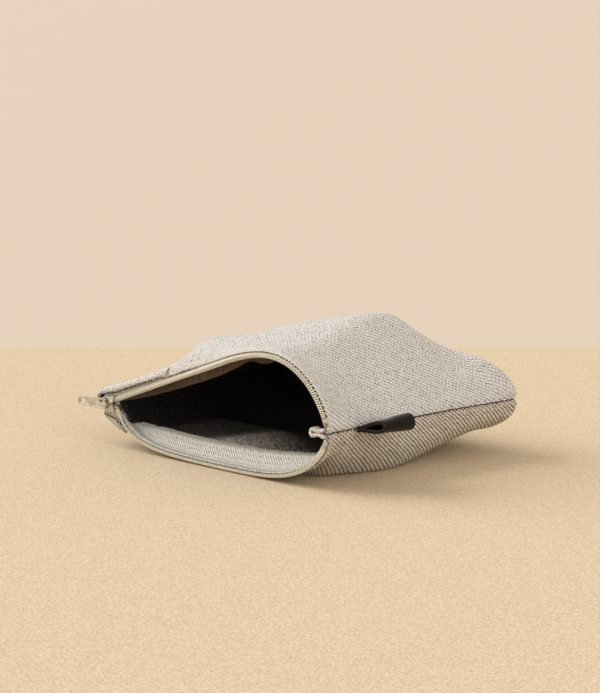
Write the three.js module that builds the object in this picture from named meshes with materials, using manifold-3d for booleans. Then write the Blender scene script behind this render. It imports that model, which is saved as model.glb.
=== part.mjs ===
// Pleated zip pouch of wool twill, lying on its back panel with the mouth drawn open.
// X runs along the zip from the slider to the far end, Y from the mouth to the bottom seam,
// Z up from the table. Sizes are millimetres.
import * as THREE from "three";
import { mergeVertices } from "three/addons/utils/BufferGeometryUtils.js";
import Module from "manifold-3d";

const wasm = await Module();
wasm.setup();

// Fits
const CLEARANCE = 0.3;

// Cloth body
const HALF_WIDTH = 96;
const DEPTH = 158;
const SEAM_HEIGHT = 31.5;
const SEAM_TILT = THREE.MathUtils.degToRad(2.1);
const CLOTH = 2;
const CORNER_SPREAD = 4;
const CORNER_RADIUS = 6;
const SPREAD_START = 90;
const SPREAD_LENGTH = 60;
const SEAM_POWER = 30;

// Front panel, puffed up above the seams
const FRONT_CROWN = 42.3;
const FRONT_SWELL = 5;
const SWELL_START = 18;
const SWELL_LENGTH = 80;
const FRONT_TURN = 84;
const FRONT_TURN_POWER = 2;
const LEAN_AT_MOUTH = 0.02;
const LEAN_AT_BELLY = 0.33;
const LEAN_LOST_AT_BOTTOM = 0.35;

// Hollow between the pleats
const DIP_DEPTH = 5;
const DIP_PLACE = -26;
const DIP_REACH = 15.5;
const DIP_START = 20;
const DIP_LENGTH = 40;

// Straight fall from the right pleat to the side seam, fuller at the bottom corner
const FALL_SLOPE = 0.835;
const FALL_SOFT = 1.6;
const FALL_FULL = 20;
const SEAM_BULGE = 1.5;
const CORNER_BULGE = 11;
const BULGE_START = 132;
const BULGE_LENGTH = 22;
const BULGE_REACH = 4;

// Back panel, pressed flat where it lies on the table
const BACK_PRESS = 7;
const BACK_LIFT = 0.49;
const LIFT_START = 58;
const LIFT_LENGTH = 100;
const BACK_TURN = 148;
const BACK_BOX_POWER = 4.2;
const FLOOR_HUMP = 13.5;
const HUMP_PLACE = 13;
const HUMP_REACH = 9;
const HUMP_POWER = 4;

// Boxed bottom corners
const BOX_START = 137;
const BOX_LENGTH = 18;
const SIDE_POWER = 3;
const BOX_POWER = 20;
const ARCH_FULLNESS = 0.6;

// Pleats of the front panel, folds facing the middle
const LEFT_PLEAT = -34;
const RIGHT_PLEAT = 46;
const PLEAT_DEPTH = 10;
const PLEAT_RISE = 1.6;
const PLEAT_LENGTH = 100;
const FOLD_HALF = 0.3;

// Open mouth
const LIP_RISE = 29;
const LIP_REST = 0.4;
const LIP_SPREAD = 18;
const PUFF_POWER = 1.4;
const LEFT_TUCK = 70;
const TUCK_START = 0.19;
const TUCK_LENGTH = 0.4;
const FRONT_LIP_POWER = 2.3;
const FRONT_LIP_FALL = 0.78;
const BACK_LIP_START = 0.18;
const BACK_LIP_POWER = 4;
const BACK_LIP_FALL = 0.75;
const TWIST_LENGTH = 90;
const BACK_TWIST_LENGTH = 18;
const FRONT_TWIST_LEFT = 0.35;
const TURN_RADIUS = 3.5;
const TURN_FADE = 60;

// Zip tapes and coils
const TAPE = 0.8;
const TAPE_WIDTH = 14;
const TAPE_SHOWN = 5.5;
const TAPE_EDGE = -0.2;
const COIL_PITCH = 1.5;
const COIL_THICK = 1.8;
const COIL_BACK = 1;
const TOOTH_ROOT = -0.4;
const TOOTH_TIP = -2;
const TOOTH_TAPER = 0.6;
const CHAIN_HALF = 1.5;
const SLIDER_SPREAD = 3;

// Stops and the folded strip at the far end
const STOP_INSET = 4;
const STOP_LENGTH = 2.2;
const STOP_BACK = 1.2;
const STOP_FRONT = -1.6;
const STOP_HALF = 2.3;
const STOP_ROUND = 0.7;
const LEFT_TAIL = 5;
const RIGHT_TAIL = 0.7;
const END_TAB_LENGTH = 10.5;
const END_TAB_HEIGHT = 5;
const END_TAB_WIDTH = 5;
const END_TAB_SLOT = 2.4;
const END_TAB_SEAT = 1.4;

// Slider
const SLIDER_LENGTH = 11;
const PLATE = 1;
const FLANGE = 0.8;
const PLATE_ROUND = 1.4;
const NOTCH_DEPTH = 1.6;
const POST_LENGTH = 4;
const POST_TIP = 0.12;
const BRIDGE_PLACE = -1.5;
const BRIDGE_SPAN = 4.6;
const BRIDGE_HEIGHT = 2.2;
const BRIDGE_THICK = 1.2;
const BRIDGE_WIDTH = 2.2;

// Pull tab
const TAB_LENGTH = 24;
const TAB_THICK = 1.2;
const TAB_WEB = 0.7;
const TAB_RIM = 0.7;
const TAB_CROWN_HALF = 3.6;
const TAB_TIP_HALF = 2.2;
const TAB_BAR = 1.2;
const TAB_HOLE_LENGTH = 4;
const TAB_HOLE_HALF = 1.8;
const TAB_WINDOW_LENGTH = 4.5;
const TAB_WINDOW_INSET = 2;

// Leather loop in the right side seam
const LOOP_START = 21;
const LOOP_WIDTH = 24;
const LOOP_REACH = 21;
const LOOP_HEIGHT = 9;
const LOOP_LEATHER = 1.6;
const LOOP_TILT = THREE.MathUtils.degToRad(12);
const LOOP_ROOT = 0.3;
const LOOP_BELLY = 0.45;

// Facets
const PANEL_COLUMNS = 30;
const PANEL_ROWS = 14;
const SEWN_ROWS = 4;
const LIP_SAMPLES = 800;
const SHORT_STEP = 0.001;
const COLUMN_ROOM = 0.012;
const ROUND_SEGMENTS = 6;

// Places that follow from the sizes
const stopStart = -HALF_WIDTH + STOP_INSET;
const coilStart = stopStart + STOP_LENGTH + CLEARANCE;
const sliderRear = coilStart + CLEARANCE;
const sliderMouth = sliderRear + SLIDER_LENGTH;
const sliderMiddle = (sliderRear + sliderMouth) / 2;
const tapeOffset = CLOTH + CLEARANCE;
const coilInner = tapeOffset - CLEARANCE;
const coilOuter = coilInner - COIL_THICK;
const backCrown = SEAM_HEIGHT + BACK_PRESS;
const tapeFirst = LEFT_TAIL / HALF_WIDTH - 1;
const tapeLast = 1 - RIGHT_TAIL / HALF_WIDTH;

const smooth = (value) => THREE.MathUtils.smoothstep(value, 0, 1);
const unit = (value) => THREE.MathUtils.clamp(value, 0, 1);
const mix = THREE.MathUtils.lerp;

// A rounded arch: 1 in the middle, 0 at either end, square to its base there
function arch(place, power) {
  return Math.pow(Math.max(0, 1 - Math.pow(Math.abs(place), power)), ARCH_FULLNESS);
}

// Half the pouch's width at a depth, drawn in round the bottom corners
function halfWidth(depth) {
  const past = THREE.MathUtils.clamp(depth - (DEPTH - CORNER_RADIUS), 0, CORNER_RADIUS);
  const drawnIn = CORNER_RADIUS - Math.sqrt(CORNER_RADIUS ** 2 - past ** 2);
  return HALF_WIDTH + CORNER_SPREAD * smooth((depth - SPREAD_START) / SPREAD_LENGTH) - drawnIn;
}

// Height of the seams' plane, which droops towards the slider
function seamHeight(x) {
  return SEAM_HEIGHT + Math.tan(SEAM_TILT) * (x - HALF_WIDTH);
}

// Half the distance between the two rows of teeth before the mouth opens
function chainSpread(x) {
  return mix(CHAIN_HALF, SLIDER_SPREAD, unit((x - sliderRear) / SLIDER_LENGTH));
}

// How far along the open mouth a place lies: 0 at the slider, 2 at the far end
function alongMouth(x) {
  return 2 * unit((x - sliderMouth) / (HALF_WIDTH - sliderMouth));
}

// Height of the front lip above the seams
function frontLip(x) {
  const along = alongMouth(x);
  const late = Math.max(0, along - 1);
  const fall = Math.pow(1 - late ** FRONT_LIP_POWER, FRONT_LIP_FALL);
  return chainSpread(x) + LIP_RISE * along * fall;
}

// Drop from the seams to the teeth of a lip that rests on the table
function lipSag(x) {
  return seamHeight(x) - SLIDER_SPREAD - LIP_REST;
}

// Drop of the back lip below the seams
function backLip(x) {
  const along = alongMouth(x);
  const late = Math.max(0, along - 1);
  const fall = Math.pow(1 - late ** BACK_LIP_POWER, BACK_LIP_FALL);
  return chainSpread(x) + lipSag(x) * (1 - Math.exp(-along / BACK_LIP_START)) * fall;
}

// Height of the puffed front panel above the seams, away from the mouth
function frontBody(share, depth) {
  const belly = smooth((depth - SWELL_START) / SWELL_LENGTH);
  const bottom = smooth((depth - FRONT_TURN) / (DEPTH - FRONT_TURN));
  const lean = mix(LEAN_AT_MOUTH, LEAN_AT_BELLY, belly) - LEAN_LOST_AT_BOTTOM * bottom;
  const turn = unit((depth - FRONT_TURN) / (DEPTH - FRONT_TURN));
  const crown = FRONT_CROWN + FRONT_SWELL * belly;
  const dome = crown * (1 + lean * share) * arch(share, sidePower(depth, BOX_POWER));
  const puffed = (dome - pleatDip(share, depth)) * arch(turn, FRONT_TURN_POWER);
  const soft = Math.max(SHORT_STEP, FALL_SOFT * unit(puffed / FALL_FULL));
  return Math.max(0, softLower(puffed, sideFall(share, depth), soft));
}

// How deep the cloth sags between the pleats
function pleatDip(share, depth) {
  const beside = (share * HALF_WIDTH - DIP_PLACE) / DIP_REACH;
  return DIP_DEPTH * Math.exp(-beside * beside) * smooth((depth - DIP_START) / DIP_LENGTH);
}

// Height of the straight fall to the right seam
function sideFall(share, depth) {
  const room = halfWidth(depth) * (1 - share);
  const bulge = mix(SEAM_BULGE, CORNER_BULGE, smooth((depth - BULGE_START) / BULGE_LENGTH));
  return FALL_SLOPE * room + bulge * (1 - Math.exp(-room / BULGE_REACH));
}

// The lower of two heights, with the edge between them rounded
function softLower(one, other, soft) {
  return Math.min(one, other) - soft * Math.log1p(Math.exp(-Math.abs(one - other) / soft));
}

// Drop of the back panel below the seams, away from the mouth
function backBody(share, depth) {
  const lifted = 1 - BACK_LIFT * smooth((depth - LIFT_START) / LIFT_LENGTH);
  const turn = unit((depth - BACK_TURN) / (DEPTH - BACK_TURN));
  return backCrown * lifted * arch(share, sidePower(depth, BACK_BOX_POWER)) * arch(turn, SIDE_POWER);
}

// The section squares up towards the boxed corners
function sidePower(depth, boxPower) {
  return mix(SIDE_POWER, boxPower, smooth((depth - BOX_START) / BOX_LENGTH));
}

// How far the tape stands up on edge beside the teeth: 1 is square to the panel
function twist(face, x) {
  const past = x - sliderMouth;
  if (face > 0) return mix(1, FRONT_TWIST_LEFT, smooth(past / TWIST_LENGTH));
  return 1 - smooth(past / BACK_TWIST_LENGTH);
}

// A point on a panel's outer face. face is 1 for the front panel and -1 for the back one,
// share runs from -1 at the left seam to 1 at the right seam, along from the teeth inwards.
function facePoint(face, share, along) {
  const x = share * halfWidth(along);
  const tuck = face > 0 ? smooth((-share - TUCK_START) / TUCK_LENGTH) : 0;
  const spread = LIP_SPREAD + LEFT_TUCK * tuck;
  const puffed = 1 - Math.exp(-Math.pow(Math.max(0, along) / spread, PUFF_POWER));
  const lip = face > 0 ? frontLip(x) : backLip(x);
  const body = face > 0 ? frontBody(share, along) : backBody(share, along);
  const past = Math.max(0, along - TAPE_SHOWN);
  const onEdge = Math.min(along, TAPE_SHOWN) + TURN_RADIUS * (1 - Math.exp(-past / TURN_RADIUS));
  const stood = twist(face, x) * onEdge * (1 - smooth(along / TURN_FADE));
  const seamShare = Math.sqrt(Math.max(0, 1 - Math.pow(Math.abs(share), SEAM_POWER)));
  const seam = Math.pow(seamShare, unit(along / TAPE_SHOWN));
  let height = (mix(lip, body, puffed) + stood) * seam;
  if (face < 0) height -= floorHump(share, along) * unit(lip / lipSag(x));
  const z = seamHeight(x) + face * (height + CLEARANCE / 2);
  return new THREE.Vector3(x, along - stood, Math.max(0, z));
}

// The back panel humps up behind the zip, where the turned edge and the tape stiffen it
function floorHump(share, along) {
  const reach = (along - HUMP_PLACE) / HUMP_REACH;
  const risen = FLOOR_HUMP * Math.exp(-reach * reach) * smooth(along / HUMP_PLACE);
  return risen * Math.max(0, 1 - share ** HUMP_POWER);
}

// The outward direction of a panel at a point; level along the seams
function faceNormal(face, share, along) {
  const step = SHORT_STEP;
  if (along > DEPTH - step) return new THREE.Vector3(0, 1, 0);
  if (Math.abs(share) > 1 - step) {
    const slope = (halfWidth(along + step) - halfWidth(along - step)) / (2 * step);
    return new THREE.Vector3(Math.sign(share), -slope, 0).normalize();
  }
  const across = facePoint(face, share + step, along).sub(facePoint(face, share - step, along));
  const inward = facePoint(face, share, along + step).sub(facePoint(face, share, along - step));
  return across.cross(inward).multiplyScalar(face).normalize();
}

// A point under a panel's outer face, sunk into the pouch but never across the seams' plane
function sunkPoint(face, share, along, sunk) {
  const point = facePoint(face, share, along);
  point.addScaledVector(faceNormal(face, share, along), -sunk);
  const seam = seamHeight(point.x);
  point.z = seam + face * Math.max(CLEARANCE / 2, face * (point.z - seam));
  return point;
}

// Closed solid through rings of points; each end is closed across the ring
function ringSolid(rings) {
  const size = rings[0].length;
  const positions = rings.flat().flatMap((point) => point.toArray());
  const triangles = [];
  const quad = (a, b, c, d) => triangles.push(a, b, c, a, c, d);
  for (let ring = 0; ring + 1 < rings.length; ring += 1) {
    for (let k = 0; k < size; k += 1) {
      const next = (k + 1) % size;
      const here = ring * size;
      quad(here + k, here + next, here + size + next, here + size + k);
    }
  }
  const last = (rings.length - 1) * size;
  for (let k = 0; k + 1 < size / 2; k += 1) {
    quad(size - 1 - k, size - 2 - k, k + 1, k);
    quad(last + k, last + k + 1, last + size - 2 - k, last + size - 1 - k);
  }
  const geometry = new THREE.BufferGeometry();
  geometry.setAttribute("position", new THREE.Float32BufferAttribute(positions, 3));
  geometry.setIndex(triangles);
  if (signedVolume(geometry) < 0) geometry.setIndex(triangles.reverse());
  return geometry;
}

function signedVolume(geometry) {
  const position = geometry.getAttribute("position");
  const index = geometry.getIndex().array;
  const corner = (k) => new THREE.Vector3().fromBufferAttribute(position, index[k]);
  let volume = 0;
  for (let k = 0; k < index.length; k += 3) {
    volume += corner(k).dot(corner(k + 1).cross(corner(k + 2))) / 6;
  }
  return volume;
}

// Columns across a panel, with a pair at each fold edge and one at each end of the tape
function panelColumns() {
  const fixed = [tapeFirst, tapeLast];
  for (const [place, side] of [[LEFT_PLEAT, -1], [RIGHT_PLEAT, 1]]) {
    for (const beside of [-FOLD_HALF, FOLD_HALF, PLEAT_DEPTH, 2 * PLEAT_DEPTH]) {
      fixed.push((place + side * beside) / HALF_WIDTH);
    }
  }
  const even = [];
  for (let k = 0; k <= PANEL_COLUMNS; k += 1) {
    const share = Math.sin((Math.PI / 2) * (-1 + (2 * k) / PANEL_COLUMNS));
    const room = Math.abs(share) === 1 ? 0 : COLUMN_ROOM;
    if (fixed.every((place) => Math.abs(place - share) > room)) even.push(share);
  }
  return [...even, ...fixed].sort((a, b) => a - b);
}

// How far a pleat's top layer stands above the panel
function pleatRise(share, along) {
  const reach = unit((along - TAPE_WIDTH) / (PLEAT_LENGTH - TAPE_WIDTH));
  let rise = 0;
  for (const [place, side] of [[LEFT_PLEAT, -1], [RIGHT_PLEAT, 1]]) {
    const beside = side * (share * HALF_WIDTH - place);
    const onFold = smooth((beside + FOLD_HALF) / (2 * FOLD_HALF));
    const fallsAway = 1 - smooth((beside - PLEAT_DEPTH) / PLEAT_DEPTH);
    rise += PLEAT_RISE * onFold * fallsAway * (1 - smooth(reach));
  }
  return rise;
}

const columns = panelColumns();
const tapeRows = [TAPE_EDGE, TAPE_SHOWN / 2];
for (let k = 0; k <= SEWN_ROWS; k += 1) tapeRows.push(mix(TAPE_SHOWN, TAPE_WIDTH, k / SEWN_ROWS));

function panelRows() {
  const rows = tapeRows.slice(2);
  for (let k = 1; k <= PANEL_ROWS; k += 1) {
    rows.push(TAPE_WIDTH + (DEPTH - TAPE_WIDTH) * Math.sin((Math.PI / 2) * (k / PANEL_ROWS)));
  }
  return rows;
}

// One cloth panel: its outer face with the pleats, and its inner face a cloth's thickness under it
function panelSolid(face) {
  const rows = panelRows();
  const rings = columns.map((share) => {
    const outer = rows.map((along) => {
      const rise = face > 0 ? pleatRise(share, along) : 0;
      return sunkPoint(face, share, along, -rise);
    });
    const inner = rows.map((along) => sunkPoint(face, share, along, CLOTH));
    return [...outer, ...inner.reverse()];
  });
  return ringSolid(rings);
}

// One zip tape, sewn under the panel's edge
function tapeSolid(face) {
  const held = columns.filter((share) => share >= tapeFirst && share <= tapeLast);
  const rings = held.map((share) => {
    const outer = tapeRows.map((along) => sunkPoint(face, share, along, tapeOffset));
    const inner = tapeRows.map((along) => sunkPoint(face, share, along, tapeOffset + TAPE));
    return [...outer, ...inner.reverse()];
  });
  return ringSolid(rings);
}

// The line of the teeth along one lip, as shares with their lengths from the start of the coil
function lipLine(face) {
  const line = [];
  const first = coilStart / HALF_WIDTH;
  const turn = (share) => (2 / Math.PI) * Math.asin(share);
  let length = 0;
  let before = null;
  for (let k = 0; k <= LIP_SAMPLES; k += 1) {
    const share = Math.sin((Math.PI / 2) * mix(turn(first), turn(tapeLast), k / LIP_SAMPLES));
    const point = facePoint(face, share, 0);
    if (before) length += point.distanceTo(before);
    before = point;
    line.push({ share, length });
  }
  return line;
}

function shareAt(line, length) {
  const index = line.findIndex((sample) => sample.length >= length);
  if (index < 1) return line[index < 0 ? line.length - 1 : 0].share;
  const low = line[index - 1];
  const high = line[index];
  return mix(low.share, high.share, (length - low.length) / (high.length - low.length));
}

// A bar along a lip; each station has its length along the lip and how far its front reaches
function lipBar(face, line, stations, back, sunkOuter, sunkInner, taper) {
  const rings = stations.map(({ length, front }) => {
    const share = shareAt(line, length);
    const start = facePoint(face, share, 0);
    const inward = facePoint(face, share, SHORT_STEP).sub(start).normalize();
    const sunk = faceNormal(face, share, 0).negate();
    const place = (along, deep) => {
      const point = start.clone().addScaledVector(inward, along);
      return point.addScaledVector(sunk, deep);
    };
    const middle = (sunkOuter + sunkInner) / 2;
    const half = (taper * (sunkInner - sunkOuter)) / 2;
    return [
      place(back, sunkOuter),
      place(front, middle - half),
      place(front, middle + half),
      place(back, sunkInner),
    ];
  });
  return ringSolid(rings);
}

// Length of the row of teeth; the stop and the tape's tail follow it
function coilLength(line) {
  return line[line.length - 1].length - STOP_LENGTH - 2 * CLEARANCE;
}

// One row of teeth; the back row is half a pitch behind, so that the closed rows mesh
function coilSolid(face) {
  const line = lipLine(face);
  const steps = Math.floor((2 * coilLength(line)) / COIL_PITCH);
  const stations = [];
  for (let k = 0; k <= steps; k += 1) {
    const isTip = (k % 2 === 0) === (face > 0);
    stations.push({ length: (k * COIL_PITCH) / 2, front: isTip ? TOOTH_TIP : TOOTH_ROOT });
  }
  return lipBar(face, line, stations, COIL_BACK, coilOuter, coilInner, TOOTH_TAPER);
}

// The metal stop past the last tooth of one row
function topStopSolid(face) {
  const line = lipLine(face);
  const start = coilLength(line) + CLEARANCE;
  const stations = [0, STOP_LENGTH / 2, STOP_LENGTH].map((past) => ({
    length: start + past,
    front: STOP_FRONT,
  }));
  return lipBar(face, line, stations, STOP_BACK, coilOuter, coilInner, 1);
}

// A flat plate in the zip's plane: a shape in X and Z between two depths in Y
function plate(shape, from, to) {
  const geometry = new THREE.ExtrudeGeometry(shape, {
    depth: to - from,
    bevelEnabled: false,
    curveSegments: ROUND_SEGMENTS,
  });
  return geometry.rotateX(Math.PI / 2).translate(0, to, 0);
}

// A profile in X and Y carried along Z, centred on the zip's line
function bar(shape, width) {
  const geometry = new THREE.ExtrudeGeometry(shape, {
    depth: width,
    bevelEnabled: false,
    curveSegments: ROUND_SEGMENTS,
  });
  return geometry.translate(0, 0, -width / 2);
}

// A polygon with every corner rounded
function roundedShape(corners, radius) {
  const shape = new THREE.Shape();
  corners.forEach((corner, k) => {
    const before = corners[(k + corners.length - 1) % corners.length];
    const after = corners[(k + 1) % corners.length];
    const reach = Math.min(radius, corner.distanceTo(before) / 2, corner.distanceTo(after) / 2);
    const enter = corner.clone().add(before.clone().sub(corner).setLength(reach));
    const leave = corner.clone().add(after.clone().sub(corner).setLength(reach));
    if (k === 0) shape.moveTo(enter.x, enter.y);
    else shape.lineTo(enter.x, enter.y);
    shape.quadraticCurveTo(corner.x, corner.y, leave.x, leave.y);
  });
  shape.closePath();
  return shape;
}

function corners(...pairs) {
  return pairs.map(([x, y]) => new THREE.Vector2(x, y));
}

// Joined solids
function toManifold(geometry) {
  const bare = geometry.clone();
  bare.deleteAttribute("normal");
  bare.deleteAttribute("uv");
  const merged = mergeVertices(bare, SHORT_STEP);
  const mesh = new wasm.Mesh({
    numProp: 3,
    vertProperties: new Float32Array(merged.getAttribute("position").array),
    triVerts: new Uint32Array(merged.getIndex().array),
  });
  return new wasm.Manifold(mesh);
}

function join(geometries) {
  const joined = geometries.map(toManifold).reduce((sum, solid) => sum.add(solid));
  const mesh = joined.getMesh();
  const geometry = new THREE.BufferGeometry();
  geometry.setAttribute("position", new THREE.BufferAttribute(mesh.vertProperties, 3));
  geometry.setIndex(new THREE.BufferAttribute(mesh.triVerts, 1));
  return geometry;
}

// Slider, in its own place: X and Z from its middle on the zip's line, Y as in the pouch
const channelRear = CHAIN_HALF + COIL_BACK + CLEARANCE;
const channelMouth = SLIDER_SPREAD + COIL_BACK + CLEARANCE;
const frontPlateInner = coilOuter - CLEARANCE;
const frontPlateOuter = frontPlateInner - PLATE;
const backPlateInner = tapeOffset + TAPE + CLEARANCE;
const backPlateOuter = backPlateInner + PLATE;
const hingeDepth = frontPlateOuter - BRIDGE_HEIGHT / 2;

function sliderPlate(notch) {
  const half = SLIDER_LENGTH / 2;
  const rear = channelRear + FLANGE;
  const mouth = channelMouth + FLANGE;
  const outline = corners([-half, -rear], [half, -mouth], [half - notch, 0], [half, mouth], [-half, rear]);
  return roundedShape(outline, PLATE_ROUND);
}

// The edge of the front plate that turns back beside the teeth
function flangeShape(side) {
  const half = SLIDER_LENGTH / 2 - PLATE_ROUND;
  const grow = ((channelMouth - channelRear) * PLATE_ROUND) / SLIDER_LENGTH;
  const rear = channelRear + grow;
  const mouth = channelMouth - grow;
  return new THREE.Shape(corners(
    [-half, side * rear],
    [half, side * mouth],
    [half, side * (mouth + FLANGE)],
    [-half, side * (rear + FLANGE)],
  ));
}

// The wedge between the plates that parts the teeth
function postShape() {
  const half = SLIDER_LENGTH / 2 - NOTCH_DEPTH;
  const wide = SLIDER_SPREAD + TOOTH_TIP - CLEARANCE;
  return new THREE.Shape(corners(
    [half - POST_LENGTH, -POST_TIP],
    [half, -wide],
    [half, wide],
    [half - POST_LENGTH, POST_TIP],
  ));
}

// The bridge over the front plate that holds the pull tab
function bridgeShape() {
  const inner = BRIDGE_SPAN / 2;
  const outer = inner + BRIDGE_THICK;
  const base = frontPlateOuter + PLATE / 2;
  const under = frontPlateOuter - BRIDGE_HEIGHT;
  const top = under - BRIDGE_THICK;
  const shape = new THREE.Shape();
  shape.moveTo(-outer, base);
  shape.lineTo(-outer, under);
  shape.quadraticCurveTo(-outer, top, -inner, top);
  shape.lineTo(inner, top);
  shape.quadraticCurveTo(outer, top, outer, under);
  shape.lineTo(outer, base);
  shape.lineTo(inner, base);
  shape.lineTo(inner, under);
  shape.lineTo(-inner, under);
  shape.lineTo(-inner, base);
  shape.closePath();
  return shape;
}

function sliderSolid() {
  const flangeEnd = tapeOffset - CLEARANCE;
  const insidePlate = frontPlateInner - PLATE / 2;
  return join([
    plate(sliderPlate(NOTCH_DEPTH), frontPlateOuter, frontPlateInner),
    plate(sliderPlate(0), backPlateInner, backPlateOuter),
    plate(flangeShape(1), insidePlate, flangeEnd),
    plate(flangeShape(-1), insidePlate, flangeEnd),
    plate(postShape(), insidePlate, backPlateInner + PLATE / 2),
    bar(bridgeShape(), BRIDGE_WIDTH).translate(BRIDGE_PLACE, 0, 0),
  ]);
}

// Pull tab, from its hinge on the bridge towards -X
function tabOutline(inset) {
  const crown = TAB_BAR / 2 - inset;
  const tip = inset - TAB_LENGTH;
  const wide = TAB_CROWN_HALF - inset;
  const narrow = TAB_TIP_HALF - inset;
  return roundedShape(
    corners([crown, -wide], [crown, wide], [tip, narrow], [tip, -narrow]),
    PLATE_ROUND - inset / 2,
  );
}

function tabHole() {
  const near = -TAB_BAR / 2;
  const far = near - TAB_HOLE_LENGTH;
  return roundedShape(
    corners([near, -TAB_HOLE_HALF], [near, TAB_HOLE_HALF], [far, TAB_HOLE_HALF], [far, -TAB_HOLE_HALF]),
    PLATE_ROUND / 2,
  );
}

function tabWindow() {
  const far = TAB_WINDOW_INSET - TAB_LENGTH;
  const near = far + TAB_WINDOW_LENGTH;
  const half = TAB_TIP_HALF - TAB_RIM;
  return roundedShape(corners([near, -half], [near, half], [far, half], [far, -half]), TAB_RIM);
}

function pullTabSolid() {
  const web = tabOutline(0);
  web.holes.push(tabHole(), tabWindow());
  const rim = tabOutline(0);
  rim.holes.push(tabOutline(TAB_RIM));
  const crownBar = new THREE.Shape(corners(
    [TAB_BAR / 2 - TAB_RIM, -TAB_CROWN_HALF + TAB_RIM],
    [TAB_BAR / 2 - TAB_RIM, TAB_CROWN_HALF - TAB_RIM],
    [-TAB_BAR / 2, TAB_CROWN_HALF - TAB_RIM],
    [-TAB_BAR / 2, -TAB_CROWN_HALF + TAB_RIM],
  ));
  const centred = (shape, thick) => plate(shape, -thick / 2, thick / 2);
  return join([centred(web, TAB_WEB), centred(rim, TAB_THICK), centred(crownBar, TAB_THICK)]);
}

// The metal clip that ends the closed chain at the left
function bottomStopSolid() {
  const outline = corners(
    [0, -STOP_HALF],
    [STOP_LENGTH, -STOP_HALF],
    [STOP_LENGTH, STOP_HALF],
    [0, STOP_HALF],
  );
  return plate(roundedShape(outline, STOP_ROUND), coilOuter, coilInner);
}

// A level ring of stadium outline with a slot through it, in X and Z
function hairpinShape(length, height, slot) {
  const radius = height / 2;
  const shape = new THREE.Shape();
  shape.moveTo(0, -radius);
  shape.lineTo(0, radius);
  shape.lineTo(radius - length, radius);
  shape.absarc(radius - length, 0, radius, Math.PI / 2, 1.5 * Math.PI, false);
  shape.closePath();
  const wall = (height - slot) / 2;
  const hole = new THREE.Path();
  hole.moveTo(-wall, -slot / 2);
  hole.lineTo(-wall, slot / 2);
  hole.lineTo(radius - length, slot / 2);
  hole.absarc(radius - length, 0, slot / 2, Math.PI / 2, 1.5 * Math.PI, false);
  hole.closePath();
  shape.holes.push(hole);
  return shape;
}

// A strip of leather folded into a drop-shaped loop, its ends in the seam, in X and Z
function dropShape(reach, height, root) {
  const radius = height / 2;
  const near = reach * LOOP_ROOT;
  const far = reach * LOOP_BELLY;
  const shape = new THREE.Shape();
  shape.moveTo(0, -root);
  shape.bezierCurveTo(near, -root, far, -radius, reach - radius, -radius);
  shape.absarc(reach - radius, 0, radius, -Math.PI / 2, Math.PI / 2, false);
  shape.bezierCurveTo(far, radius, near, root, 0, root);
  shape.closePath();
  return shape;
}

function loopSolid() {
  const outer = dropShape(LOOP_REACH, LOOP_HEIGHT, LOOP_LEATHER);
  const reach = LOOP_REACH - 3 * LOOP_LEATHER;
  const height = LOOP_HEIGHT - 2 * LOOP_LEATHER;
  const hollow = dropShape(reach, height, LOOP_LEATHER / 2).getPoints(ROUND_SEGMENTS);
  const stitched = new THREE.Vector2(2 * LOOP_LEATHER, 0);
  outer.holes.push(new THREE.Path(hollow.map((point) => point.add(stitched))));
  return plate(outer, 0, LOOP_WIDTH);
}

// Finishes
function finish(color, roughness, metalness = 0) {
  return new THREE.MeshStandardMaterial({ color, roughness, metalness });
}

const twill = "#b3a596";
const tapeCloth = "#cfc8ba";
const coilNylon = "#b9a46f";
const nickel = "#b9b4a8";
const leather = "#1b1817";

function named(name, geometry, material) {
  const mesh = new THREE.Mesh(geometry, material);
  mesh.name = name;
  return mesh;
}

const pouch = new THREE.Group();
pouch.add(named("front_panel", panelSolid(1), finish(twill, 0.95)));
pouch.add(named("back_panel", panelSolid(-1), finish(twill, 0.95)));
pouch.add(named("front_zip_tape", tapeSolid(1), finish(tapeCloth, 0.9)));
pouch.add(named("back_zip_tape", tapeSolid(-1), finish(tapeCloth, 0.9)));
pouch.add(named("front_coil", coilSolid(1), finish(coilNylon, 0.5)));
pouch.add(named("back_coil", coilSolid(-1), finish(coilNylon, 0.5)));
pouch.add(named("front_top_stop", topStopSolid(1), finish(nickel, 0.35, 1)));
pouch.add(named("back_top_stop", topStopSolid(-1), finish(nickel, 0.35, 1)));

const bottomStop = named("bottom_stop", bottomStopSolid(), finish(nickel, 0.35, 1));
bottomStop.position.set(stopStart, 0, seamHeight(stopStart));
bottomStop.rotation.y = -SEAM_TILT;
pouch.add(bottomStop);

const endTab = named(
  "zip_end_tab",
  plate(hairpinShape(END_TAB_LENGTH, END_TAB_HEIGHT, END_TAB_SLOT), 0, END_TAB_WIDTH),
  finish(tapeCloth, 0.9),
);
const tabSeat = HALF_WIDTH - tapeOffset - TAPE - END_TAB_SEAT;
endTab.position.set(tabSeat, 0, seamHeight(tabSeat));
endTab.rotation.y = -SEAM_TILT;
pouch.add(endTab);

const sideLoop = named("side_loop", loopSolid(), finish(leather, 0.45));
const loopRoot = HALF_WIDTH + CLEARANCE + LOOP_LEATHER * Math.sin(LOOP_TILT);
sideLoop.position.set(loopRoot, LOOP_START, SEAM_HEIGHT);
sideLoop.rotation.y = -LOOP_TILT;
pouch.add(sideLoop);

const slider = new THREE.Group();
slider.position.set(sliderMiddle, 0, seamHeight(sliderMiddle));
slider.rotation.y = -SEAM_TILT;
slider.add(named("slider_body", sliderSolid(), finish(nickel, 0.3, 1)));
const pullTab = named("pull_tab", pullTabSolid(), finish(nickel, 0.3, 1));
pullTab.position.set(BRIDGE_PLACE, hingeDepth, 0);
slider.add(pullTab);
pouch.add(slider);

// The pouch stands on its own middle
const extent = new THREE.Box3().setFromObject(pouch, true);
const middle = extent.getCenter(new THREE.Vector3());
pouch.position.set(-middle.x, -middle.y, -extent.min.z);

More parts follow.
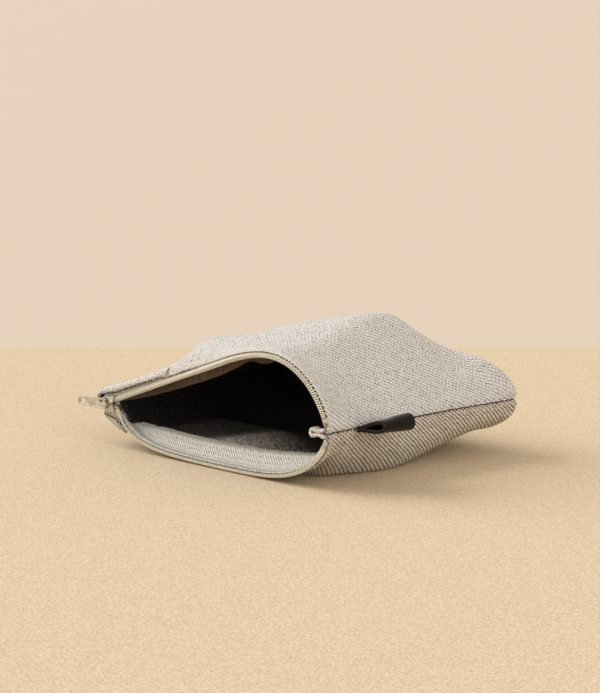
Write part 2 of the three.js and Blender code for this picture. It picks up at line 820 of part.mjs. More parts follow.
export default pouch;
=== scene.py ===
"""Looks of a pleated zip pouch of wool twill that lies on its back panel with the mouth open.

Shapes are worked out in millimetres in the pouch's own layout: X along the zip from its middle,
Y from the teeth to the bottom seam and Z up from the table. They are moved into the frame last.
"""

import math

import bpy
import numpy as np
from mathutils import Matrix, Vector


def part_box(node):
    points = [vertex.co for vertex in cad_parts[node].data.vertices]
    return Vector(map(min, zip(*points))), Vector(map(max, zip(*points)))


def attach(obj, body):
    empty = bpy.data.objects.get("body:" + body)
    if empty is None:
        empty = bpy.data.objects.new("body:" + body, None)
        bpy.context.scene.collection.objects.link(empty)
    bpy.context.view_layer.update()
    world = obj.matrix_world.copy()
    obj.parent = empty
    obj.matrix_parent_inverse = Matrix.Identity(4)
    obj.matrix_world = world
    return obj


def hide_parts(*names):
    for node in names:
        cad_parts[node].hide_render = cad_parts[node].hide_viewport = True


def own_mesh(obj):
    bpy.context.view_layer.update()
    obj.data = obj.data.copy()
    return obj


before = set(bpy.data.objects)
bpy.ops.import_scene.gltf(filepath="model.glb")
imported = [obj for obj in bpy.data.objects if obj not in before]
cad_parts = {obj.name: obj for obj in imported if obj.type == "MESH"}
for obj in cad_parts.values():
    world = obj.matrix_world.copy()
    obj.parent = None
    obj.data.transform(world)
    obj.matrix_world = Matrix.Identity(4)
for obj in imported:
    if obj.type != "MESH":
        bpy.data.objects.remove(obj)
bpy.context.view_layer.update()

# Sizes of the cloth body, as in the solids; a span is where something starts and how long it is
CLEARANCE = 0.3
HALF_WIDTH = 96.0
DEPTH = 158.0
SEAM_HEIGHT = 31.5
SEAM_TILT = math.radians(2.1)
CLOTH = 2.0
CORNER_SPREAD = 4.0
CORNER_RADIUS = 6.0
SPREAD_SPAN = (90.0, 60.0)
SEAM_POWER = 30
FRONT_CROWN = 42.3
FRONT_SWELL = 5.0
SWELL_SPAN = (18.0, 80.0)
FRONT_TURN = 84.0
FRONT_TURN_POWER = 2
LEANS = (0.02, 0.33)
LEAN_LOST_AT_BOTTOM = 0.35
DIP_DEPTH = 5.0
DIP_PLACE = -26.0
DIP_REACH = 15.5
DIP_SPAN = (20.0, 40.0)
FALL_SLOPE = 0.835
FALL_SOFT = 1.6
FALL_FULL = 20.0
BULGES = (1.5, 11.0)
BULGE_SPAN = (132.0, 22.0)
BULGE_REACH = 4.0
BACK_PRESS = 7.0
BACK_LIFT = 0.49
LIFT_SPAN = (58.0, 100.0)
BACK_TURN = 148.0
BACK_BOX_POWER = 4.2
FLOOR_HUMP = 13.5
HUMP_PLACE = 13.0
HUMP_REACH = 9.0
HUMP_POWER = 4
BOX_SPAN = (137.0, 18.0)
SIDE_POWER = 3
BOX_POWER = 20
ARCH_FULLNESS = 0.6
LEFT_PLEAT = -34.0
RIGHT_PLEAT = 46.0
LIP_RISE = 29.0
LIP_REST = 0.4
LIP_SPREAD = 18.0
PUFF_POWER = 1.4
LEFT_TUCK = 70.0
TUCK_SPAN = (0.19, 0.4)
FRONT_LIP_FALL = (2.3, 0.78)
BACK_LIP_START = 0.18
BACK_LIP_FALL = (4, 0.75)
TWIST_LENGTH = 90.0
BACK_TWIST_LENGTH = 10.0
FRONT_TWIST_LEFT = 0.35
TURN_RADIUS = 3.5
TURN_FADE = 60.0

# Sizes of the zip, as in the solids
TAPE = 0.8
TAPE_WIDTH = 14.0
TAPE_SHOWN = 5.5
TAPE_EDGE = -0.2
COIL_PITCH = 1.5
COIL_THICK = 1.8
COIL_BACK = 1.0
TOOTH_TIP = -2.0
CHAIN_HALF = 1.5
SLIDER_SPREAD = 3.0
STOP_INSET = 4.0
STOP_LENGTH = 2.2
LEFT_TAIL = 5.0
RIGHT_TAIL = 0.7
SLIDER_LENGTH = 11.0
LOOP_START = 21.0
LOOP_WIDTH = 24.0
LOOP_REACH = 21.0
LOOP_HEIGHT = 9.0
LOOP_LEATHER = 1.6
LOOP_TILT = math.radians(12)
END_TAB_LENGTH = 10.5
END_TAB_WIDTH = 5.0
END_TAB_SEAT = 1.4

STOP_START = -HALF_WIDTH + STOP_INSET
COIL_START = STOP_START + STOP_LENGTH + CLEARANCE
SLIDER_REAR = COIL_START + CLEARANCE
SLIDER_MOUTH = SLIDER_REAR + SLIDER_LENGTH
TAPE_OFFSET = CLOTH + CLEARANCE
COIL_INNER = TAPE_OFFSET - CLEARANCE
COIL_OUTER = COIL_INNER - COIL_THICK
BACK_CROWN = SEAM_HEIGHT + BACK_PRESS
STEP = 0.001

# Where the layout's origin lies in the frame
panel_low, panel_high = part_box("front_panel")
SHIFT = np.array([(panel_low.x + panel_high.x) * 500, panel_high.y * 1000 - DEPTH, 0.0])


def unit(value):
    return np.clip(value, 0, 1)


def smooth(value):
    value = unit(value)
    return value * value * (3 - 2 * value)


def eased(value, start, length):
    """Rises smoothly from 0 at the start to 1 after the length."""
    return smooth((value - start) / length)


def mix(low, high, share):
    return low + (high - low) * share


def arch(place, power):
    return np.maximum(0, 1 - np.abs(place) ** power) ** ARCH_FULLNESS


def half_width(along):
    past = np.clip(along - (DEPTH - CORNER_RADIUS), 0, CORNER_RADIUS)
    drawn_in = CORNER_RADIUS - np.sqrt(CORNER_RADIUS**2 - past**2)
    return HALF_WIDTH + CORNER_SPREAD * eased(along, *SPREAD_SPAN) - drawn_in


def seam_height(x):
    return SEAM_HEIGHT + math.tan(SEAM_TILT) * (x - HALF_WIDTH)


def chain_spread(x):
    return mix(CHAIN_HALF, SLIDER_SPREAD, unit((x - SLIDER_REAR) / SLIDER_LENGTH))


def along_mouth(x):
    return 2 * unit((x - SLIDER_MOUTH) / (HALF_WIDTH - SLIDER_MOUTH))


def lip_fall(place, power, fall):
    return np.maximum(0, 1 - np.maximum(0, place - 1) ** power) ** fall


def front_lip(x):
    place = along_mouth(x)
    return chain_spread(x) + LIP_RISE * place * lip_fall(place, *FRONT_LIP_FALL)


def lip_sag(x):
    return seam_height(x) - SLIDER_SPREAD - LIP_REST


def back_lip(x):
    place = along_mouth(x)
    sunk = lip_sag(x) * (1 - np.exp(-place / BACK_LIP_START))
    return chain_spread(x) + sunk * lip_fall(place, *BACK_LIP_FALL)


def side_power(along, box_power):
    return mix(SIDE_POWER, box_power, eased(along, *BOX_SPAN))


def pleat_dip(share, along):
    beside = (share * HALF_WIDTH - DIP_PLACE) / DIP_REACH
    return DIP_DEPTH * np.exp(-beside * beside) * eased(along, *DIP_SPAN)


def side_fall(share, along):
    room = half_width(along) * (1 - share)
    bulge = mix(*BULGES, eased(along, *BULGE_SPAN))
    return FALL_SLOPE * room + bulge * (1 - np.exp(-room / BULGE_REACH))


def soft_lower(one, other, soft):
    return np.minimum(one, other) - soft * np.log1p(np.exp(-np.abs(one - other) / soft))


def front_body(share, along):
    belly = eased(along, *SWELL_SPAN)
    bottom = eased(along, FRONT_TURN, DEPTH - FRONT_TURN)
    lean = mix(*LEANS, belly) - LEAN_LOST_AT_BOTTOM * bottom
    turn = unit((along - FRONT_TURN) / (DEPTH - FRONT_TURN))
    crown = FRONT_CROWN + FRONT_SWELL * belly
    dome = crown * (1 + lean * share) * arch(share, side_power(along, BOX_POWER))
    puffed = (dome - pleat_dip(share, along)) * arch(turn, FRONT_TURN_POWER)
    soft = np.maximum(STEP, FALL_SOFT * unit(puffed / FALL_FULL))
    return np.maximum(0, soft_lower(puffed, side_fall(share, along), soft))


def back_body(share, along):
    lifted = 1 - BACK_LIFT * eased(along, *LIFT_SPAN)
    turn = unit((along - BACK_TURN) / (DEPTH - BACK_TURN))
    crown = BACK_CROWN * lifted * arch(share, side_power(along, BACK_BOX_POWER))
    return crown * arch(turn, SIDE_POWER)


def twist(face, x):
    past = x - SLIDER_MOUTH
    if face > 0:
        return mix(1, FRONT_TWIST_LEFT, smooth(past / TWIST_LENGTH))
    return 1 - smooth(past / BACK_TWIST_LENGTH)


def floor_hump(share, along):
    reach = (along - HUMP_PLACE) / HUMP_REACH
    risen = FLOOR_HUMP * np.exp(-reach * reach) * smooth(along / HUMP_PLACE)
    return risen * np.maximum(0, 1 - share**HUMP_POWER)


def grids(share, along):
    return np.broadcast_arrays(np.asarray(share, float), np.asarray(along, float))


def stacked(*parts):
    """Points or pairs from their parts, which may be grids, rows, columns or numbers."""
    return np.stack(np.broadcast_arrays(*parts), -1)


def face_point(face, share, along):
    """Points of a panel's outer face: face 1 is the front panel and -1 the back one."""
    share, along = grids(share, along)
    x = share * half_width(along)
    tuck = eased(-share, *TUCK_SPAN) if face > 0 else 0.0
    spread = LIP_SPREAD + LEFT_TUCK * tuck
    puffed = 1 - np.exp(-((np.maximum(0, along) / spread) ** PUFF_POWER))
    lip = front_lip(x) if face > 0 else back_lip(x)
    body = front_body(share, along) if face > 0 else back_body(share, along)
    past = np.maximum(0, along - TAPE_SHOWN)
    on_edge = np.minimum(along, TAPE_SHOWN) + TURN_RADIUS * (1 - np.exp(-past / TURN_RADIUS))
    stood = twist(face, x) * on_edge * (1 - smooth(along / TURN_FADE))
    seam = np.sqrt(np.maximum(0, 1 - np.abs(share) ** SEAM_POWER)) ** unit(along / TAPE_SHOWN)
    height = (mix(lip, body, puffed) + stood) * seam
    if face < 0:
        height = height - floor_hump(share, along) * unit(lip / lip_sag(x))
    z = np.maximum(0, seam_height(x) + face * (height + CLEARANCE / 2))
    return stacked(x, along - stood, z)


def normalised(vectors):
    return vectors / np.maximum(np.linalg.norm(vectors, axis=-1, keepdims=True), 1e-9)


def lengths_along(points, axis=0):
    """Lengths along a line of points, or over a grid along one axis, from the first point."""
    steps = np.diff(points, axis=axis, prepend=points.take([0], axis))
    return np.cumsum(np.linalg.norm(steps, axis=-1), axis)


def face_normal(face, share, along):
    """Outward directions of a panel; level along the seams."""
    share, along = grids(share, along)
    inner = np.clip(share, -1 + 2 * STEP, 1 - 2 * STEP)
    deep = np.minimum(along, DEPTH - 2 * STEP)
    across = face_point(face, inner + STEP, deep) - face_point(face, inner - STEP, deep)
    inward = face_point(face, inner, deep + STEP) - face_point(face, inner, deep - STEP)
    normal = normalised(np.cross(across, inward) * face)
    level = np.sign(share)[..., None] * [1.0, 0.0, 0.0]
    normal = np.where((np.abs(share) > 1 - STEP)[..., None], level, normal)
    return np.where((along > DEPTH - STEP)[..., None], [0.0, 1.0, 0.0], normal)


def above_seams(face, points):
    """Points held on their own panel's side of the seams' plane."""
    points = points.copy()
    seam = seam_height(points[..., 0])
    points[..., 2] = seam + face * np.maximum(CLEARANCE / 2, face * (points[..., 2] - seam))
    return points


# Meshes
UV_UNIT = 100
ANY_WAY = np.array([0.3, 0.2, 0.9])


def add_object(name, data):
    piece = bpy.data.objects.new(name, data)
    bpy.context.scene.collection.objects.link(piece)
    return piece


def add_mesh(name, points, faces, materials, uv=None, slots=None):
    """A mesh of points in the layout's millimetres; uv has lengths on the cloth for each point."""
    mesh = bpy.data.meshes.new(name)
    placed = (points.reshape(-1, 3) + SHIFT) / 1000
    mesh.from_pydata(placed.tolist(), [], faces.tolist())
    for material in materials:
        mesh.materials.append(material)
    if slots is not None:
        mesh.polygons.foreach_set("material_index", slots)
    mesh.polygons.foreach_set("use_smooth", np.ones(len(mesh.polygons), bool))
    if uv is not None:
        corner = np.zeros(len(mesh.loops), np.int32)
        mesh.loops.foreach_get("vertex_index", corner)
        layer = mesh.uv_layers.new(name="cloth")
        pairs = uv.reshape(-1, 2)[corner] / UV_UNIT
        layer.data.foreach_set("uv", pairs.astype(np.float32).ravel())
    mesh.update()
    return add_object(name, mesh)


def ring_faces(rings, size):
    """Quads of a closed shell through rings of points, both ends closed across the ring."""
    start = (np.arange(rings - 1) * size)[:, None]
    here = np.arange(size)
    following = (here + 1) % size
    above = start + size
    quads = stacked(start + here, start + following, above + following, above + here)
    k = np.arange(size // 2 - 1)
    last = (rings - 1) * size
    first = stacked(size - 1 - k, size - 2 - k, k + 1, k)
    end = stacked(last + k, last + k + 1, last + size - 2 - k, last + size - 1 - k)
    return np.concatenate([quads.reshape(-1, 4), first, end])


def tube(path, radius, sides):
    """Points and quads of a round tube along a path, with a radius for each of its points."""
    count = len(path)
    ahead = np.roll(path, -1, 0) - np.roll(path, 1, 0)
    ahead[0] = path[1] - path[0]
    ahead[-1] = path[-1] - path[-2]
    ahead = normalised(ahead)
    side = np.zeros_like(path)
    guess = ANY_WAY
    for k in range(count):
        guess = guess - ahead[k] * (guess @ ahead[k])
        guess = guess / np.linalg.norm(guess)
        side[k] = guess
    other = np.cross(ahead, side)
    turn = np.arange(sides)[:, None] * 2 * math.pi / sides
    ring = np.cos(turn) * side[:, None] + np.sin(turn) * other[:, None]
    points = path[:, None] + ring * radius[:, None, None]
    return points.reshape(-1, 3), ring_faces(count, sides)


def tubes_piece(name, paths, radii, sides, material, uv=None):
    """One mesh of round tubes; radii is one, a row for the points or a column for the paths."""
    points, faces, count = [], [], 0
    for path, radius in zip(paths, np.broadcast_to(radii, np.shape(paths)[:2])):
        more, quads = tube(path, radius, sides)
        points.append(more)
        faces.append(quads + count)
        count += len(more)
    return add_mesh(name, np.concatenate(points), np.concatenate(faces), [material], uv)


def shell_piece(name, front, back, flat, material, flip):
    """A closed shell between two grids of points that have the same map."""
    rings = np.concatenate([front, back[:, ::-1]], axis=1)
    faces = ring_faces(*rings.shape[:2])
    uv = np.concatenate([flat, flat[:, ::-1]], axis=1)
    return add_mesh(name, rings, faces[:, ::-1] if flip else faces, [material], uv)


def ring_slots(around, rings, faces, ends):
    """Material slots of a shell: the same round every ring, and one for both ends."""
    sides = np.tile(around, rings - 1)
    return np.concatenate([sides, np.full(len(faces) - len(sides), ends)]).astype(np.int32)


def strip_skin(path, section, tall=1):
    """Reach and rise of a strip that bends along a flat path, at each point of its section."""
    ahead = normalised(np.gradient(path, axis=0))[:, None]
    reach = path[:, None, 0] - ahead[..., 1] * section[:, 1]
    return reach, path[:, None, 1] * tall + ahead[..., 0] * section[:, 1]


# Shader graphs
def paint(code):
    """A colour written as six hexadecimal digits, as linear red, green, blue and alpha."""
    parts = [int(code[k : k + 2], 16) / 255 for k in (0, 2, 4)]
    return (*[p / 12.92 if p <= 0.04045 else ((p + 0.055) / 1.055) ** 2.4 for p in parts], 1.0)


def joined(kind):
    return lambda wire, other: wire.graph.math(kind, wire, other)


class Wire:
    """A number or vector that runs through a material's graph."""

    def __init__(self, graph, socket):
        self.graph = graph
        self.socket = socket

    def __rsub__(self, other):
        return self.graph.math("SUBTRACT", other, self)

    __add__ = joined("ADD")
    __sub__ = joined("SUBTRACT")
    __mul__ = joined("MULTIPLY")
    __truediv__ = joined("DIVIDE")


class Nodes:
    """The node tree of a material or world, emptied and with an output of a kind."""

    def __init__(self, owner, kind):
        owner.use_nodes = True
        self.tree = owner.node_tree
        self.tree.nodes.clear()
        self.surface = self.tree.nodes.new("ShaderNodeOutput" + kind).inputs["Surface"]

    def put(self, socket, value):
        if isinstance(value, Wire):
            self.tree.links.new(value.socket, socket)
        else:
            socket.default_value = value

    def node(self, kind, output, inputs, **settings):
        """A new node with its settings and inputs, as the wire from one of its outputs."""
        node = self.tree.nodes.new("ShaderNode" + kind)
        for name, value in settings.items():
            setattr(node, name, value)
        for key, value in inputs.items():
            self.put(node.inputs[key], value)
        return Wire(self, node.outputs[output])

    def math(self, kind, *values):
        return self.node("Math", 0, dict(enumerate(values)), operation=kind)


class Graph(Nodes):
    """A node material with one principled shader."""

    def __init__(self, name, roughness, metallic=0.0):
        self.material = bpy.data.materials.new(name)
        super().__init__(self.material, "Material")
        shader = self.node("BsdfPrincipled", 0, {"Roughness": roughness, "Metallic": metallic})
        self.put(self.surface, shader)
        self.shader = shader.socket.node

    def set(self, name, value):
        self.put(self.shader.inputs[name], value)

    def step(self, value, low, high, to_low=0.0, to_high=1.0):
        ends = {"From Min": low, "From Max": high, "To Min": to_low, "To Max": to_high}
        given = {"Value": value, **ends}
        return self.node("MapRange", "Result", given, interpolation_type="SMOOTHSTEP")

    def parts(self, vector):
        """The first two parts of a vector."""
        node = self.node("SeparateXYZ", 0, {0: vector}).socket.node
        return Wire(self, node.outputs[0]), Wire(self, node.outputs[1])

    def zigzag(self, value):
        """Falls from 1 to 0 and rises again between whole numbers."""
        return self.math("ABSOLUTE", self.math("FRACT", value) * 2 - 1)

    def cloth_uv(self):
        """Lengths across and along the cloth, in millimetres."""
        u, v = self.parts(self.node("UVMap", 0, {}, uv_map="cloth"))
        return u * UV_UNIT, v * UV_UNIT

    def place(self):
        """The place on the piece, in metres."""
        return self.node("TexCoord", "Object", {})

    def vector(self, x, y):
        return self.node("CombineXYZ", 0, {0: x, 1: y})

    def noise(self, vector, scale, detail, roughness=0.5):
        given = {"Vector": vector, "Scale": scale, "Detail": detail, "Roughness": roughness}
        return self.node("TexNoise", "Fac", given)

    def speckle(self, vector):
        return self.node("TexWhiteNoise", "Value", {"Vector": vector}, noise_dimensions="2D")

    def blend(self, share, first, second):
        return self.node("Mix", 2, {0: share, 6: first, 7: second}, data_type="RGBA")

    def ramp(self, share, *stops):
        wire = self.node("ValToRGB", 0, {0: share})
        elements = wire.socket.node.color_ramp.elements
        while len(elements) < len(stops):
            elements.new(0.5)
        for element, (place, code) in zip(elements, stops):
            element.position = place
            element.color = paint(code)
        return wire

    def bump(self, height, distance, strength):
        given = {"Strength": strength, "Distance": distance, "Height": height}
        self.set("Normal", self.node("Bump", 0, given))


# Wool twill: slanting ribs of floats, with grooves painted dark brown as shade, flecks and a soft
# nap
RIB_ANGLE = math.radians(53)
FLOAT_LENGTH = 2.1
FLOAT_SHIFT = 0.46
FLOAT_JITTER = 0.7
FLOAT_PINCH = 0.85
COVER_SOFT = 0.2
FLECK_LEVELS = (0.74, 0.77)
FLECK_STRENGTH = 0.7
# Painted shade on the wrong side where the mouth's light ends: where it starts, in metres along Y,
# and how that moves along X
PAINTED_SHADE_Y = (-0.078, -0.053)
PAINTED_SHADE_TURN = (-0.03, 0.004)
PAINTED_SHADE_FURTHER = 0.04
PAINTED_SHADE_NAP = "050403"
CHEVRON_WIDTH = 14.0
CHEVRON_PITCH = 2.0
CHEVRON_SLOPE = 7.0
PICK_PITCH = 1.7


def twill_graph(name, groove_shade_and_fleck, dark, light, pitch, gap, fuzz, relief):
    """Twill in which gap says how much of the grooves shows, and fuzz how ragged the ribs are."""
    g = Graph(name, roughness=0.95)
    u, v = g.cloth_uv()
    flat = g.vector(u, v)
    wander = (g.noise(flat, 0.06, 1) - 0.5) * 0.8 + (g.noise(flat, 0.5, 2) - 0.5) * 0.7
    across = (u * math.sin(RIB_ANGLE) - v * math.cos(RIB_ANGLE)) / pitch + wander
    rib = g.math("FLOOR", across)
    along = (u * math.cos(RIB_ANGLE) + v * math.sin(RIB_ANGLE)) / FLOAT_LENGTH + rib * FLOAT_SHIFT
    along = along + g.speckle(g.vector(rib, rib)) * FLOAT_JITTER
    yarn_random = g.speckle(g.vector(rib, g.math("FLOOR", along)))
    ridge = 1 - g.math("POWER", g.zigzag(across), 2.0)
    floats = 1 - g.math("POWER", g.zigzag(along), 3) * FLOAT_PINCH
    fibre = g.noise(flat, 1.3, 4, 0.75)
    clump = g.noise(flat, 0.3, 3, 0.6)
    height = ridge * floats * (yarn_random * 0.7 + 0.65)
    height = height + (fibre - 0.5) * fuzz + (clump - 0.5) * 0.5
    yarn_tone = yarn_random * 0.55 + fibre * 0.6 + (clump - 0.5) * 0.5 - 0.1
    yarn = g.ramp(yarn_tone, (0.05, dark), (0.4, light), (0.95, light))
    # cover shows the yarn on the ribs; between them shows the groove colour, which is painted
    # shade, and the flecks take that colour too.
    cover = g.step(height, gap - COVER_SOFT, gap + COVER_SOFT)
    fleck = g.step(g.noise(flat, 0.7, 1), *FLECK_LEVELS)
    colour = g.blend(cover, paint(groove_shade_and_fleck), yarn)
    g.set("Base Color", g.blend(fleck * FLECK_STRENGTH, colour, paint(groove_shade_and_fleck)))
    g.set("Sheen Weight", 0.25)
    g.set("Sheen Roughness", 0.6)
    g.set("Specular IOR Level", 0.15)
    g.bump(height, relief, 0.8)
    return g.material


def nap_graph(name, dark, light, far):
    """The brushed wrong side of the cloth, with painted shade where the mouth's light ends; far is
    its colour there.
    """
    g = Graph(name, roughness=1.0)
    u, v = g.cloth_uv()
    flat = g.vector(u, v)
    lean = g.vector(u * 0.5 + v * 0.9, v * 0.35 - u * 0.9)
    hairs = g.noise(lean, 1.0, 4, 0.75)
    clumps = g.noise(flat, 0.35, 3)
    tone = hairs * 0.8 + clumps * 0.4 - 0.1
    lit = g.ramp(tone, (0.4, dark), (0.6, light))
    x, y = g.parts(g.place())
    # deep is the mask of the painted shade: it grows further into the pouch and starts further in
    # at the right.
    deep = g.step(y - g.step(x, *PAINTED_SHADE_TURN, 0.0, PAINTED_SHADE_FURTHER), *PAINTED_SHADE_Y)
    g.set("Base Color", g.blend(deep, lit, g.ramp(tone, (0.4, PAINTED_SHADE_NAP), (0.62, far))))
    g.set("Sheen Weight", 0.2)
    g.set("Sheen Roughness", 0.5)
    g.set("Specular IOR Level", 0.1)
    g.bump(hairs + clumps * 0.5, 0.0012, 0.9)
    return g.material


def tape_graph(name, gap, light):
    """Woven tape with herringbone chevrons."""
    g = Graph(name, roughness=0.85)
    u, v = g.cloth_uv()
    fuzz = g.noise(g.vector(u, v), 1.1, 4, 0.75)
    slant = g.zigzag(v / CHEVRON_WIDTH) * CHEVRON_SLOPE
    line = g.zigzag(u / CHEVRON_PITCH + slant + (fuzz - 0.5) * 1.8)
    pick = g.zigzag(v / PICK_PITCH)
    height = (1 - g.math("POWER", line, 1.6)) * 0.75 + (1 - pick) * 0.2 + (fuzz - 0.5) * 1.3
    g.set("Base Color", g.blend(g.step(height, 0.0, 0.65), paint(gap), paint(light)))
    g.set("Sheen Weight", 0.15)
    g.set("Specular IOR Level", 0.25)
    g.bump(height, 0.0005, 0.9)
    return g.material


def nylon_graph(name, low, high):
    g = Graph(name, roughness=0.45)
    place = g.place()
    g.set("Base Color", g.ramp(g.noise(place, 900, 2), (0.3, low), (0.7, high)))
    g.set("Roughness", g.step(g.noise(place, 1500, 1), 0.3, 0.7, 0.38, 0.55))
    g.bump(g.noise(place, 2500, 1), 0.00005, 0.4)
    return g.material


def thread_graph(name, dark, light):
    g = Graph(name, roughness=0.8)
    place = g.place()
    g.set("Base Color", g.ramp(g.noise(place, 1200, 2), (0.3, dark), (0.65, light)))
    g.bump(g.noise(place, 2500, 2), 0.0001, 0.6)
    return g.material


def nickel_graph(name):
    g = Graph(name, roughness=0.3, metallic=1.0)
    place = g.place()
    cloud = g.noise(place, 260, 3)
    fine = g.noise(place, 2200, 3)
    g.set("Base Color", g.ramp(cloud, (0.3, "bdb9b2"), (0.7, "dfdcd6")))
    g.set("Roughness", g.step(cloud * 0.6 + fine * 0.4, 0.3, 0.7, 0.22, 0.42))
    g.bump(fine, 0.00004, 0.5)
    return g.material


def leather_graph(name, dark, light, rough):
    g = Graph(name, roughness=rough)
    place = g.place()
    pores = g.node("TexVoronoi", "Distance", {"Vector": place, "Scale": 1900})
    cloud = g.noise(place, 240, 3)
    g.set("Base Color", g.ramp(cloud, (0.3, dark), (0.75, light)))
    g.set("Roughness", g.step(cloud, 0.3, 0.7, rough - 0.08, rough + 0.1))
    g.set("Specular IOR Level", 0.17)
    g.bump(pores * 0.6 + g.noise(place, 700, 3), 0.00012, 0.5)
    return g.material


sizes = dict(pitch=2.5, gap=0.13, fuzz=1.15, relief=0.002)
front_twill = twill_graph("wool_twill", "140c08", "f6ede3", "fffcf7", **sizes)
# The back panel's twill is a warmer copy with more of the brown grooves showing: painted warm shade
# on the underside that faces the table.
sizes = dict(pitch=1.85, gap=0.31, fuzz=0.7, relief=0.0026)
back_twill_painted_shade = twill_graph("wool_twill_below_painted_shade", "2e1002", "fde6cc", "fff5e4", **sizes)
# In each wrong side, the last colour is the painted shade deep in the pouch.
inner_cloth = nap_graph("wool_wrong_side", "1c1713", "f8f0e6", "3a342e")
# A darker copy of the wrong side, for the inside of the front panel: painted shade.
painted_shade_cloth = nap_graph("wool_wrong_side_painted_shade", "100d0b", "2c2723", "1a1613")
# The pleats' under-layer is the same wool painted brown: painted warm shade where it hangs inside
# the front lip.
underlay_painted_shade = nap_graph("pleat_under_layer_painted_shade", "3a2a1c", "745a3e", "4e3a26")
# Near-black thread for the notches at the mouth edge and the side seam's stitches: painted shade.
painted_shade_thread = thread_graph("edge_and_seam_painted_shade", "1e140c", "4a3828")
# A darker copy of the zip tape for the back tape and the end strip: painted shade.
tape_painted_shade = tape_graph("zip_tape_weave_painted_shade", "605c53", "e6e3da")
# A lighter copy for the front tape: painted light against the shade of the cloth's edge.
tape_painted_light = tape_graph("zip_tape_outside_painted_light", "ccc7b6", "fbf9f0")
coil_nylon = nylon_graph("coil_nylon", "d9d1ba", "f9f4e6")
# Dark brown cords in the coil: painted shade between its loops and under its stitches.
painted_shade_cord = thread_graph("coil_painted_shade_cords", "4a3d2c", "7c6c54")
cream_thread = thread_graph("cream_thread", "dcd3b8", "fbf6e6")
tape_fibre = thread_graph("tape_fibre", "c8c5ba", "f4f2ea")
nickel = nickel_graph("satin_nickel")
black_leather = leather_graph("black_leather", "040404", "0a0909", 0.2)
cut_leather = leather_graph("cut_leather_edge", "1a1412", "332825", 0.7)


# Cloth panels
MOUTH_ROWS = (5.0, 2.7)
MOUTH_ROW_SPAN = (-42.0, 16.0)
PANEL_COLUMNS = 361
OUTER_ROWS = 110
INNER_ROWS = 40
HEM_ROUND = 5
FOLD_HALF = 2.0
FOLD_COLUMNS = 19
# One knife fold, from the layer below to the layer above: way back from the fold, and height
FOLD_PLACE = [0.0, 0.14, 0.28, 0.38, 0.48, 0.6, 0.7, 0.8, 0.9, 1.0]
FOLD_BACK = [-2.0, -0.2, 1.2, 1.6, 0.8, -0.6, -1.2, -0.7, 0.7, 2.0]
FOLD_RISE = [0.0, 0.0, 0.1, 0.4, 0.7, 1.0, 1.3, 1.6, 1.8, 1.8]
FOLD_TAIL = 18.0
# Heights of the long waves and of the ripples of worn cloth
FRONT_WAVES = (0.75, 0.25)
BACK_WAVES = (0.22, 0.07)
CALM_LENGTH = 20.0
CALM_POWER = 6
RIDGE_SPAN = (14.0, 80.0)
RIDGE_FADE = 22.0
RIDGE_FRONT = 60.0
RIDGE_BACK = 40.0
RIDGE_END = 108.0
RIDGE_WIDTH = 8.0
RIDGE_RIGHT = 17.0
RIDGE_RISE = 3.0
HOLLOW_DEPTH = 1.6
HOLLOW_PLACE = (70.0, 124.0)
HOLLOW_REACH = (9.0, 11.0)
SEAM_PINCH = 2.2
PINCH_REACH = 2.2
PINCH_SIDE_SPAN = (0.9, 0.08)
PINCH_BOTTOM_SPAN = (DEPTH - 14, 10.0)
MEET_SIDE_SPAN = (0.965, 0.02)
MEET_BOTTOM_SPAN = (DEPTH - 4, 2.0)
RIB_EDGE = 2.4
SCALLOP = 0.4
SCALLOP_DRIFT = 0.2
MOUND_EDGE = 2.0
MOUND_SHOULDER = 0.75
MOUND_RISE = 11.0
MOUND_START = 12.0
MOUND_CREST = 52.0
MOUND_END = 100.0
MOUND_LEFT = -86.0
MOUND_RIGHT = 42.0
MOUND_FADE = 36.0
MOUND_SOFT = 0.7
MOUND_BLEND = 3.0
SOFT_LIMIT = 30
LIP_SHARES = (-0.995, 0.2)
SIGHT_SLOPE = 0.22
SIGHT_CLEAR = 0.4
SEAM_CLEAR = 0.5
CORNER_END = 38.0
CORNER_FADE = 20.0
CORNER_DEEP_SPAN = (30.0, 25.0)
SLACK = 6.0
SLACK_START_SPAN = (28.0, 40.0)
SLACK_EASE = 0.34
SLACK_EASED_SPAN = (70.0, 70.0)
SLACK_END_SPAN = (154.0, 4.0)
SLACK_ACROSS_SPAN = (20.0, 40.0)
SLACK_SIDE_SPAN = (0.95, 0.05)
TABLE_CLEAR = 0.3
PLEAT_SHOWN = 0.8
PLEAT_RUN = 10.0


def panel_shares(face):
    spread = np.linspace(-1, 1, PANEL_COLUMNS)
    shares = 0.6 * spread + 0.4 * np.sin(math.pi / 2 * spread)
    if face > 0:
        for pleat in (LEFT_PLEAT, RIGHT_PLEAT):
            shares = shares[np.abs(shares * HALF_WIDTH - pleat) > FOLD_HALF]
            fold = pleat + np.linspace(-FOLD_HALF, FOLD_HALF, FOLD_COLUMNS)
            shares = np.concatenate([shares, fold / HALF_WIDTH])
    return np.sort(shares)


def mouth_row(share):
    """How far the cloth's edge lies from the teeth."""
    right = eased(share * HALF_WIDTH, *MOUTH_ROW_SPAN)
    return mix(*MOUTH_ROWS, right)


def panel_rows(share, count):
    spread = np.linspace(0, 1, count)
    return mix(mouth_row(share), DEPTH, 0.45 * spread + 0.55 * (1 - np.cos(math.pi * spread)) / 2)


def pleat_moves(share, along):
    """How far the left fold carries the cloth across and out of the panel; the right lies flat."""
    fade = PLEAT_SHOWN * (1 - eased(along, TAPE_SHOWN, PLEAT_RUN))
    beside = LEFT_PLEAT - share * HALF_WIDTH
    turn = unit((beside + FOLD_HALF) / (2 * FOLD_HALF))
    back = np.interp(turn, FOLD_PLACE, FOLD_BACK)
    shift = np.where(np.abs(beside) <= FOLD_HALF, back - mix(-FOLD_HALF, FOLD_HALF, turn), 0)
    rise = np.interp(turn, FOLD_PLACE, FOLD_RISE) * (1 - eased(beside, FOLD_HALF, FOLD_TAIL))
    return -shift * fade, rise * fade


